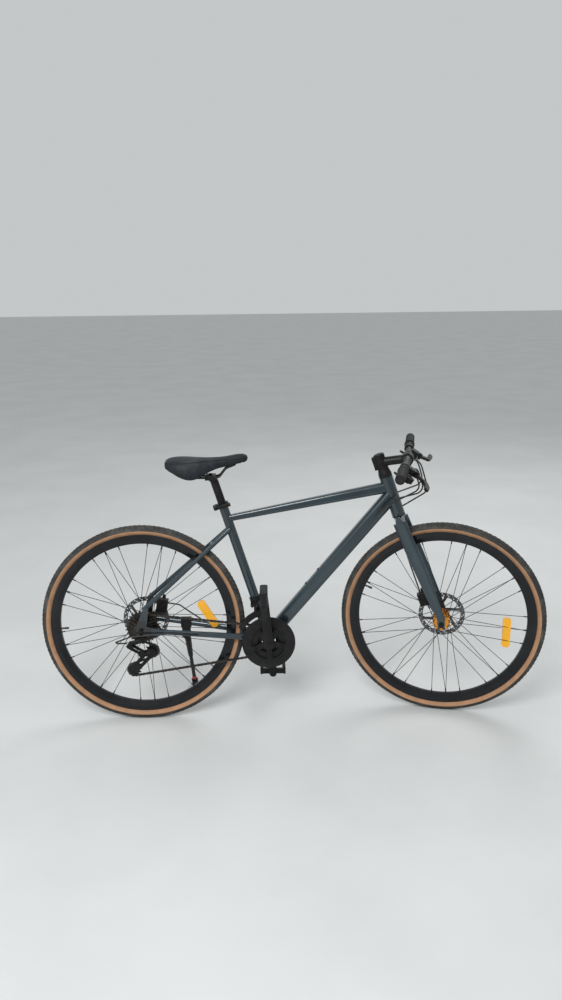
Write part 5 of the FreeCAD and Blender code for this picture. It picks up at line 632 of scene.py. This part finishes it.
class BICYCLE_OT_finishes(bpy.types.Operator):
    """Builds the finishes and gives one to each part of the frame"""
    bl_idname = "bicycle.finishes"
    bl_label = "Finishes"

    def execute(self, context):
        colours = context.scene.bicycle_colours
        sizes = context.scene.bicycle_sizes
        clouded_group()
        dust_group()
        wheel_group()
        for make in (paint_finish, black_metal_finish, chain_finish, bright_finish, orange_finish,
                     lens_finish, grip_finish, housing_finish, plastic_finish, saddle_finish,
                     tread_finish, band_finish):
            make(colours)
        stay_finish(colours, sizes)
        for end in ("front", "rear"):
            rim_finish(colours, f"{end}_wheel_spin", f"{end}_rim_black")
            tyre_finish(colours, sizes, f"{end}_wheel_spin", f"{end}_tyre_rubber")
            disc_finish(colours, f"{end}_wheel_spin", f"{end}_disc_steel")
        for name, parts in FINISHES.items():
            for part in parts:
                wear(frame["nodes"][part], name)
                smoothed(frame["nodes"][part])
        return {"FINISHED"}


# Shapes of the stamps, as shares of their own size.

HEAD_SHARE = 0.42
SOCKET_SHARE = 0.52
HEAD_BEVEL_SHARE = 0.07
UP_SHARE = 0.9
BLOCK_TAPER_SHARE = 0.82
BLOCK_BEVEL_SHARE = 0.2
BAND_WALL_SHARE = 0.14
BAND_BEVEL_SHARE = 0.3


def primitive(kind, **values):
    """Adds one primitive and gives it back."""
    bpy.ops.object.select_all(action="DESELECT")
    getattr(bpy.ops.mesh, f"primitive_{kind}_add")(**values)
    return bpy.context.object


def discarded(item):
    """Removes an object and its mesh."""
    mesh = item.data
    bpy.data.objects.remove(item)
    bpy.data.meshes.remove(mesh)


def screw_stamp():
    """A screw head of unit radius with a six-sided socket."""
    head = primitive("cylinder", vertices=28, radius=1, depth=HEAD_SHARE, location=(0, 0, HEAD_SHARE / 2))
    tool = primitive("cylinder", vertices=6, radius=SOCKET_SHARE, depth=HEAD_SHARE,
                     location=(0, 0, HEAD_SHARE))
    modified(head, "BOOLEAN", operation="DIFFERENCE", object=tool, solver="EXACT")
    discarded(tool)
    return modified(head, "BEVEL", width=HEAD_BEVEL_SHARE, segments=2, limit_method="ANGLE")


def block_stamp(sizes):
    """A tread block with sloped sides, sunk a little below its own floor."""
    middle = sizes.block_height / 2 - sizes.block_sink
    block = primitive("cube", size=1, location=(0, 0, middle),
                      scale=(sizes.block_length, sizes.block_width, sizes.block_height))
    bpy.ops.object.transform_apply(location=True, rotation=True, scale=True)
    bpy.ops.object.mode_set(mode="EDIT")
    bpy.ops.mesh.select_all(action="DESELECT")
    bpy.ops.object.mode_set(mode="OBJECT")
    for face in block.data.polygons:
        face.select = face.normal.z > UP_SHARE
    bpy.ops.object.mode_set(mode="EDIT")
    bpy.ops.mesh.select_mode(type="FACE")
    bpy.ops.transform.resize(value=(BLOCK_TAPER_SHARE, BLOCK_TAPER_SHARE, 1))
    bpy.ops.object.mode_set(mode="OBJECT")
    bevel = sizes.block_height * BLOCK_BEVEL_SHARE
    return modified(block, "BEVEL", width=bevel, segments=1, limit_method="ANGLE")


def band_stamp():
    """A thin tube of unit radius and unit length."""
    tube = primitive("cylinder", vertices=40, radius=1, depth=1, end_fill_type="NOTHING", location=(0, 0, 0))
    modified(tube, "SOLIDIFY", thickness=BAND_WALL_SHARE, offset=1)
    bevel = BAND_WALL_SHARE * BAND_BEVEL_SHARE
    return modified(tube, "BEVEL", width=bevel, segments=2, limit_method="ANGLE")


def stamped(name, stamp, places, finish, body):
    """Copies a stamp to each place and joins the copies as one piece that rides on a body."""
    copies = [added(name, stamp.data) for _ in places]
    for item, place in zip(copies, places):
        item.data.transform(place)
    alone(copies[0])
    for item in copies:
        item.select_set(True)
    if len(copies) > 1:
        bpy.ops.object.join()
    piece = alone(copies[0])
    piece.name = name
    edited(piece, bpy.ops.mesh.normals_make_consistent, inside=False)
    wear(piece, finish)
    smoothed(piece)
    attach(piece, body)
    return piece


def facing(where, direction, size):
    """A place whose Z axis points along a direction, scaled to a size."""
    turn = direction.to_track_quat("Z", "Y").to_matrix().to_4x4()
    return Matrix.Translation(where) @ turn @ Matrix.Scale(size, 4)


def met(node, point, direction, reach):
    """Where a line from outside meets a node, and the node's normal there."""
    start = point + direction * reach
    found, where, normal, _ = frame["nodes"][node].ray_cast(start, -direction, distance=reach * 2)
    if not found:
        raise RuntimeError(f"nothing of {node} is below the fitting")
    return where, normal


def polar(centre, radius, degrees, across):
    """A point round a centre in the upright frame's side view."""
    turn = math.radians(degrees)
    return centre + Vector((radius * math.cos(turn), across, radius * math.sin(turn)))


# Places of the fittings on the upright bicycle.

MIRROR = Vector((1, -1, 1))
HEAD_FORWARD = Vector((HEAD_UP.z, 0, -HEAD_UP.x))
BAR_CENTRE = Vector((0.90326, 0, 0.56615))
STEM_REACH = Vector((0.98769, 0, 0.15643))
STEM_MIDDLE = Vector((0.81535, 0, 0.55223))
STEM_TOP = Vector((0.80722, 0, 0.57587))
CAP_RISE = 0.003
CLAMP_UP = Vector((-0.00286, 0, 0.01807))
CLAMP_OUT = 0.010
CLAMP_HALF_WIDTH = 0.015
PINCH_BACK = 0.021
PINCH_SIDE = 0.011
PINCH_RISE = 0.012
LEVER_PIVOT = Vector((0.93681, 0.134, 0.54551))
LEVER_AXIS = Vector((0.5446, 0, 0.8387))
LEVER_CHEEK = LEVER_AXIS * 0.010
ROTOR_SCREW_COUNT = 6
ROTOR_SCREW_RADIUS = 0.0205
ROTOR_FIRST_TURN = 15
FRONT_ROTOR_FACE = 0.0404
REAR_ROTOR_FACE = 0.0529
SPIDER_ARMS = 5
SPIDER_RADIUS = 0.046
SPIDER_FIRST_TURN = 130.5
SPIDER_FACE = -0.0675
HANGER_SCREW = Vector((0.008, -0.0895, -0.030))
SPRING_HOUSING = Vector((0.030, -0.0645, -0.084))
TENSION_PULLEY = Vector((-0.03369, -0.0464, -0.15177))
RIGHT_CAP_FACE = 0.0845
LEFT_CAP_FACE = 0.0805
BOSSES = (Vector((0.56233, 0, 0.13488)), Vector((0.60366, 0, 0.18374)))
BOSS_OUT = Vector((-0.76045, 0, 0.64939))
BOSS_RISE = 0.0015
STAND_PIVOT = Vector((0.140, 0.066, -0.062))
STAND_DOWN = Vector((0.019996, 0.514935, -0.856996))
STAND_AXIS = Vector((0, 0.857167, 0.515038))
STAND_SCREW_OUT = 0.013
STAND_BAND_PLACE = 0.268
SCREW_REACH = 0.0035


def faceplate_points():
    middle = BAR_CENTRE + STEM_REACH * CLAMP_OUT
    return [middle + CLAMP_UP * high + SIDE * CLAMP_HALF_WIDTH * side for high in (-1, 1) for side in (-1, 1)]


def pinch_points():
    middle = STEM_MIDDLE - HEAD_FORWARD * PINCH_BACK - SIDE * PINCH_SIDE
    return [middle + HEAD_UP * PINCH_RISE, middle - HEAD_UP * PINCH_RISE]


def rotor_points(centre, across):
    turns = [360 / ROTOR_SCREW_COUNT * index + ROTOR_FIRST_TURN for index in range(ROTOR_SCREW_COUNT)]
    return [polar(centre, ROTOR_SCREW_RADIUS, turn, across) for turn in turns]


def spider_points():
    turns = [360 / SPIDER_ARMS * index + SPIDER_FIRST_TURN for index in range(SPIDER_ARMS)]
    return [polar(BRACKET, SPIDER_RADIUS, turn, SPIDER_FACE) for turn in turns]


# Screws: piece, node, body, whether it is steered, head radius, direction and points.
SCREWS = (
    ("faceplate_screws", "stem_faceplate", "front_end", True, 0.0031, STEM_REACH, faceplate_points()),
    ("pinch_screws", "stem", "front_end", True, 0.0036, -SIDE, pinch_points()),
    ("cap_screw", "stem", "front_end", True, 0.0048, HEAD_UP, [STEM_TOP + HEAD_UP * CAP_RISE]),
    ("lever_screws", "brake_brackets", "front_end", True, 0.0042, LEVER_AXIS,
     [LEVER_PIVOT + LEVER_CHEEK, LEVER_PIVOT * MIRROR + LEVER_CHEEK]),
    ("front_rotor_screws", "front_rotor", "front_wheel", True, 0.0034, SIDE,
     rotor_points(FRONT_AXLE, FRONT_ROTOR_FACE)),
    ("rear_rotor_screws", "rear_rotor", "rear_wheel", False, 0.0034, SIDE,
     rotor_points(Vector(), REAR_ROTOR_FACE)),
    ("chainring_screws", "right_crank_arm", "crank", False, 0.0048, -SIDE, spider_points()),
    ("hanger_screw", "derailleur_knuckle", "frame", False, 0.005, -SIDE, [HANGER_SCREW]),
    ("spring_housing_cap", "derailleur_body", "derailleur_body", False, 0.0095, -SIDE, [SPRING_HOUSING]),
    ("tension_screw", "derailleur_cage", "derailleur_cage", False, 0.0038, -SIDE, [TENSION_PULLEY]),
    ("stand_screw", "stand_bracket", "frame", False, 0.0052, STAND_AXIS,
     [STAND_PIVOT + STAND_AXIS * STAND_SCREW_OUT]),
)
# Covers set at a place of their own, over a bore: piece, body, radius, direction and point.
COVERS = (
    ("right_crank_cap", "crank", 0.0112, -SIDE, BRACKET - SIDE * RIGHT_CAP_FACE),
    ("left_crank_cap", "crank", 0.0112, SIDE, BRACKET + SIDE * LEFT_CAP_FACE),
    ("lower_boss_screw", "frame", 0.0046, BOSS_OUT, BOSSES[0] + BOSS_OUT * BOSS_RISE),
    ("upper_boss_screw", "frame", 0.0046, BOSS_OUT, BOSSES[1] + BOSS_OUT * BOSS_RISE),
)
# Lean from the middle of the tread in degrees, and the shift along the tyre as a share of the pitch.
TREAD_ROWS = ((-44, 0.5), (-15, 0.0), (15, 0.5), (44, 0.0))
TREAD_COUNT = 132
SECTION_RADIUS = 0.330
TREAD_REACH = 0.04
CLOTH_FRAMES = 20
CLOTH_PRESSURE = 4.0
CAP_SHARE = 0.001
# The seam's plane on the upright bicycle: a point of it and its slope along the bicycle.
SEAM_POINT = Vector((0.098, 0, 0.564))
SEAM_SLOPE = 0.036


def screw_places(node, place, size, direction, points):
    """A seat on the node for each screw."""
    turn = place.to_3x3()
    way = (turn @ direction).normalized()
    return [facing(met(node, place @ point, way, SCREW_REACH)[0], way, size) for point in points]


def tread_places(end):
    """Seats of the tread blocks, in staggered rows round a tyre."""
    centre, axis = joint_place(f"{end}_wheel_spin"), joint_axis(f"{end}_wheel_spin").normalized()
    first = axis.orthogonal().normalized()
    places = []
    for lean, shift in TREAD_ROWS:
        for index in range(TREAD_COUNT):
            out = Matrix.Rotation(2 * math.pi * (index + shift) / TREAD_COUNT, 3, axis) @ first
            aim = out * math.cos(math.radians(lean)) + axis * math.sin(math.radians(lean))
            where, normal = met(f"{end}_tyre", centre + out * SECTION_RADIUS, aim, TREAD_REACH)
            side = normal.cross(axis.cross(out)).normalized()
            turn = Matrix((side.cross(normal), side, normal)).transposed()
            places.append(Matrix.Translation(where) @ turn.to_4x4())
    return places


def swollen(item, pressure, cap, held):
    """Swells a mesh by cloth pressure and keeps each point within a cap of where it was."""
    scene = bpy.context.scene
    before = [vertex.co.copy() for vertex in item.data.vertices]
    item.vertex_groups.new(name="held").add(held, 1.0, "REPLACE")
    cloth = item.modifiers.new("swell", "CLOTH")
    cloth.settings.use_pressure = True
    cloth.settings.uniform_pressure_force = pressure
    cloth.settings.effector_weights.gravity = 0
    cloth.settings.vertex_group_mass = "held"
    cloth.point_cache.frame_start = 1
    cloth.point_cache.frame_end = CLOTH_FRAMES
    for number in range(1, CLOTH_FRAMES + 1):
        scene.frame_set(number)
    alone(item)
    bpy.ops.object.modifier_apply(modifier=cloth.name)
    scene.frame_set(1)
    for vertex, start in zip(item.data.vertices, before):
        step = vertex.co - start
        vertex.co = start + step * min(1.0, cap / max(step.length, cap * CAP_SHARE))
    return item


class BICYCLE_OT_saddle(bpy.types.Operator):
    """Covers the saddle with a padded skin and pipes its seam"""
    bl_idname = "bicycle.saddle"
    bl_label = "Saddle cover"

    def execute(self, context):
        sizes = context.scene.bicycle_sizes
        cover = copied("saddle_cover", "saddle_cushion")
        modified(cover, "REMESH", mode="VOXEL", voxel_size=sizes.saddle_voxel)
        modified(cover, "SMOOTH", factor=0.5, iterations=6)
        below = [vertex.index for vertex in cover.data.vertices if vertex.normal.z < 0]
        swollen(cover, CLOTH_PRESSURE, sizes.saddle_swell, below)
        modified(cover, "SUBSURF", levels=1, render_levels=1)
        bpy.ops.object.shade_smooth()
        wear(cover, "saddle_cover_grain")
        piping = added("saddle_piping", cover.data)
        upward = FRAME_PLACE.to_3x3() @ Vector((-SEAM_SLOPE, 0, 1)).normalized()
        edited(piping, bpy.ops.mesh.bisect, plane_co=FRAME_PLACE @ SEAM_POINT, plane_no=upward,
               clear_inner=True, clear_outer=True)
        bpy.ops.object.convert(target="CURVE")
        piping.data.bevel_depth = sizes.seam_radius
        piping.data.bevel_resolution = 2
        bpy.ops.object.convert(target="MESH")
        bpy.ops.object.shade_smooth()
        wear(piping, "moulded_plastic")
        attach(piping, "seat")
        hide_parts("saddle_cover")
        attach(cover, "seat")
        return {"FINISHED"}


class BICYCLE_OT_screws(bpy.types.Operator):
    """Puts socket screws and covers on the fittings"""
    bl_idname = "bicycle.screws"
    bl_label = "Screws"

    def execute(self, context):
        stamp = screw_stamp()
        for name, node, body, steered, size, direction, points in SCREWS:
            place = FRONT_PLACE if steered else FRAME_PLACE
            places = screw_places(node, place, size, direction, points)
            stamped(name, stamp, places, "black_anodised", body)
        for name, body, size, direction, point in COVERS:
            seat = facing(FRAME_PLACE @ point, FRAME_PLACE.to_3x3() @ direction, size)
            stamped(name, stamp, [seat], "black_anodised", body)
        discarded(stamp)
        return {"FINISHED"}


class BICYCLE_OT_cables(bpy.types.Operator):
    """Copies the cables to the frame as a merged piece of their own and hides the originals"""
    bl_idname = "bicycle.cables"
    bl_label = "Cables"

    def execute(self, context):
        loops = copied("frame_cables", "cable_loops")
        wear(loops, "cable_housing")
        smoothed(loops)
        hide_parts("frame_cables")
        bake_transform(loops)
        return {"FINISHED"}


class BICYCLE_OT_tread(bpy.types.Operator):
    """Sets rows of tread blocks on the tyres"""
    bl_idname = "bicycle.tread"
    bl_label = "Tread"

    def execute(self, context):
        sizes = context.scene.bicycle_sizes
        stamp = block_stamp(sizes)
        for end in ("front", "rear"):
            stamped(f"{end}_tread", stamp, tread_places(end), "tread_rubber", f"{end}_wheel")
        discarded(stamp)
        return {"FINISHED"}


class BICYCLE_OT_stand_band(bpy.types.Operator):
    """Slips a red band on the stand above its foot"""
    bl_idname = "bicycle.stand_band"
    bl_label = "Stand band"

    def execute(self, context):
        sizes = context.scene.bicycle_sizes
        stamp = band_stamp()
        way = FRAME_PLACE.to_3x3() @ STAND_DOWN
        where = FRAME_PLACE @ (STAND_PIVOT + STAND_DOWN * STAND_BAND_PLACE)
        shape = Matrix.Diagonal((sizes.band_radius, sizes.band_radius, sizes.band_length, 1))
        stamped("stand_red_band", stamp, [facing(where, way, 1) @ shape], "red_band", "stand_leg")
        discarded(stamp)
        return {"FINISHED"}


# Name, place, aim, width and power of each lamp.
LAMPS = (
    ("front_softbox", (-1.2, -3.2, 3.6), (0, 0, 0.5), 2.2, 150),
    ("rear_softbox", (1.6, 2.6, 3.4), (0, 0, 0.5), 2.4, 50),
)
WORLD_STRENGTH = 0.66
SENSOR_WIDTH = 36
CLIP_END = 200
CAMERA_FROM_REAR_AXLE = Vector((0.4370, -2.5121))
CAMERA_HEIGHT = 1.5036
CAMERA_PITCH = math.radians(15.97)
CAMERA_YAW = math.radians(0.96)
CAMERA_ROLL = math.radians(-0.66)
REAR_AXLE = joint_place("rear_wheel_spin")
CAMERA_PLACE = (REAR_AXLE.x + CAMERA_FROM_REAR_AXLE.x, REAR_AXLE.y + CAMERA_FROM_REAR_AXLE.y, CAMERA_HEIGHT)


def camera_turn():
    """The camera's turn from its yaw, pitch and roll."""
    level = math.cos(CAMERA_PITCH)
    ahead = Vector((math.sin(CAMERA_YAW) * level, math.cos(CAMERA_YAW) * level, -math.sin(CAMERA_PITCH)))
    right = Vector((math.cos(CAMERA_YAW), -math.sin(CAMERA_YAW), 0))
    up = right.cross(ahead)
    across = right * math.cos(CAMERA_ROLL) + up * math.sin(CAMERA_ROLL)
    above = up * math.cos(CAMERA_ROLL) - right * math.sin(CAMERA_ROLL)
    return Matrix((across, above, -ahead)).transposed()


class BICYCLE_OT_stage(bpy.types.Operator):
    """Sets up the floor, the light and the camera"""
    bl_idname = "bicycle.stage"
    bl_label = "Floor, light and camera"

    def execute(self, context):
        scene = context.scene
        stage = scene.bicycle_stage
        scene.view_settings.view_transform = "Standard"
        bpy.ops.object.select_all(action="DESELECT")
        bpy.ops.mesh.primitive_plane_add(size=stage.floor_size, location=(0, 0, 0))
        floor = context.object
        floor.name = "studio_floor"
        finish = Finish("pale_floor")
        shade, rough = finish.two_toned(stage.floor, 0.94, cloud_scale=2.0, fleck_scale=260.0,
                                        fleck=0.2, smooth=0.7, rough=0.8)
        finish.colour(shade, rough)
        wear(floor, "pale_floor")
        world = bpy.data.worlds.new("studio_light")
        world.use_nodes = True
        background = world.node_tree.nodes["Background"]
        background.inputs["Color"].default_value = opaque(stage.sky)
        background.inputs["Strength"].default_value = WORLD_STRENGTH
        scene.world = world
        for name, place, aim, across, power in LAMPS:
            bpy.ops.object.light_add(type="AREA", location=place)
            lamp = context.object
            lamp.name = name
            lamp.data.shape = "DISK"
            lamp.data.size = across
            lamp.data.energy = power
            lamp.rotation_euler = (Vector(aim) - Vector(place)).to_track_quat("-Z", "Y").to_euler()
        bpy.ops.object.camera_add(location=CAMERA_PLACE)
        camera = context.object
        camera.name = "photo_camera"
        camera.data.sensor_width = SENSOR_WIDTH
        camera.data.lens = stage.lens
        camera.rotation_euler = camera_turn().to_euler()
        camera.data.clip_end = CLIP_END
        scene.camera = camera
        return {"FINISHED"}


class BICYCLE_PT_panel(bpy.types.Panel):
    """Lists the steps in the sidebar"""
    bl_label = "Bicycle"
    bl_idname = "BICYCLE_PT_panel"
    bl_space_type = "VIEW_3D"
    bl_region_type = "UI"
    bl_category = "Bicycle"

    def draw(self, context):
        for operator in OPERATORS:
            self.layout.operator(operator.bl_idname)
        for label in GROUPS:
            group = getattr(context.scene, label)
            box = self.layout.box()
            for name in group.__annotations__:
                box.prop(group, name)


OPERATORS = (BICYCLE_OT_finishes, BICYCLE_OT_saddle, BICYCLE_OT_screws, BICYCLE_OT_cables, BICYCLE_OT_tread,
             BICYCLE_OT_stand_band, BICYCLE_OT_stage)
GROUPS = {"bicycle_colours": BicycleColours, "bicycle_sizes": BicycleSizes, "bicycle_stage": BicycleStage}


def register():
    for item in (*GROUPS.values(), *OPERATORS, BICYCLE_PT_panel):
        bpy.utils.register_class(item)
    for name, group in GROUPS.items():
        setattr(bpy.types.Scene, name, PointerProperty(type=group))


def unregister():
    for name in GROUPS:
        delattr(bpy.types.Scene, name)
    for item in reversed((*GROUPS.values(), *OPERATORS, BICYCLE_PT_panel)):
        bpy.utils.unregister_class(item)


def main():
    register()
    bpy.ops.bicycle.finishes()
    bpy.ops.bicycle.saddle()
    bpy.ops.bicycle.screws()
    bpy.ops.bicycle.cables()
    bpy.ops.bicycle.tread()
    bpy.ops.bicycle.stand_band()
    bpy.ops.bicycle.stage()


if __name__ == "__main__":
    main()
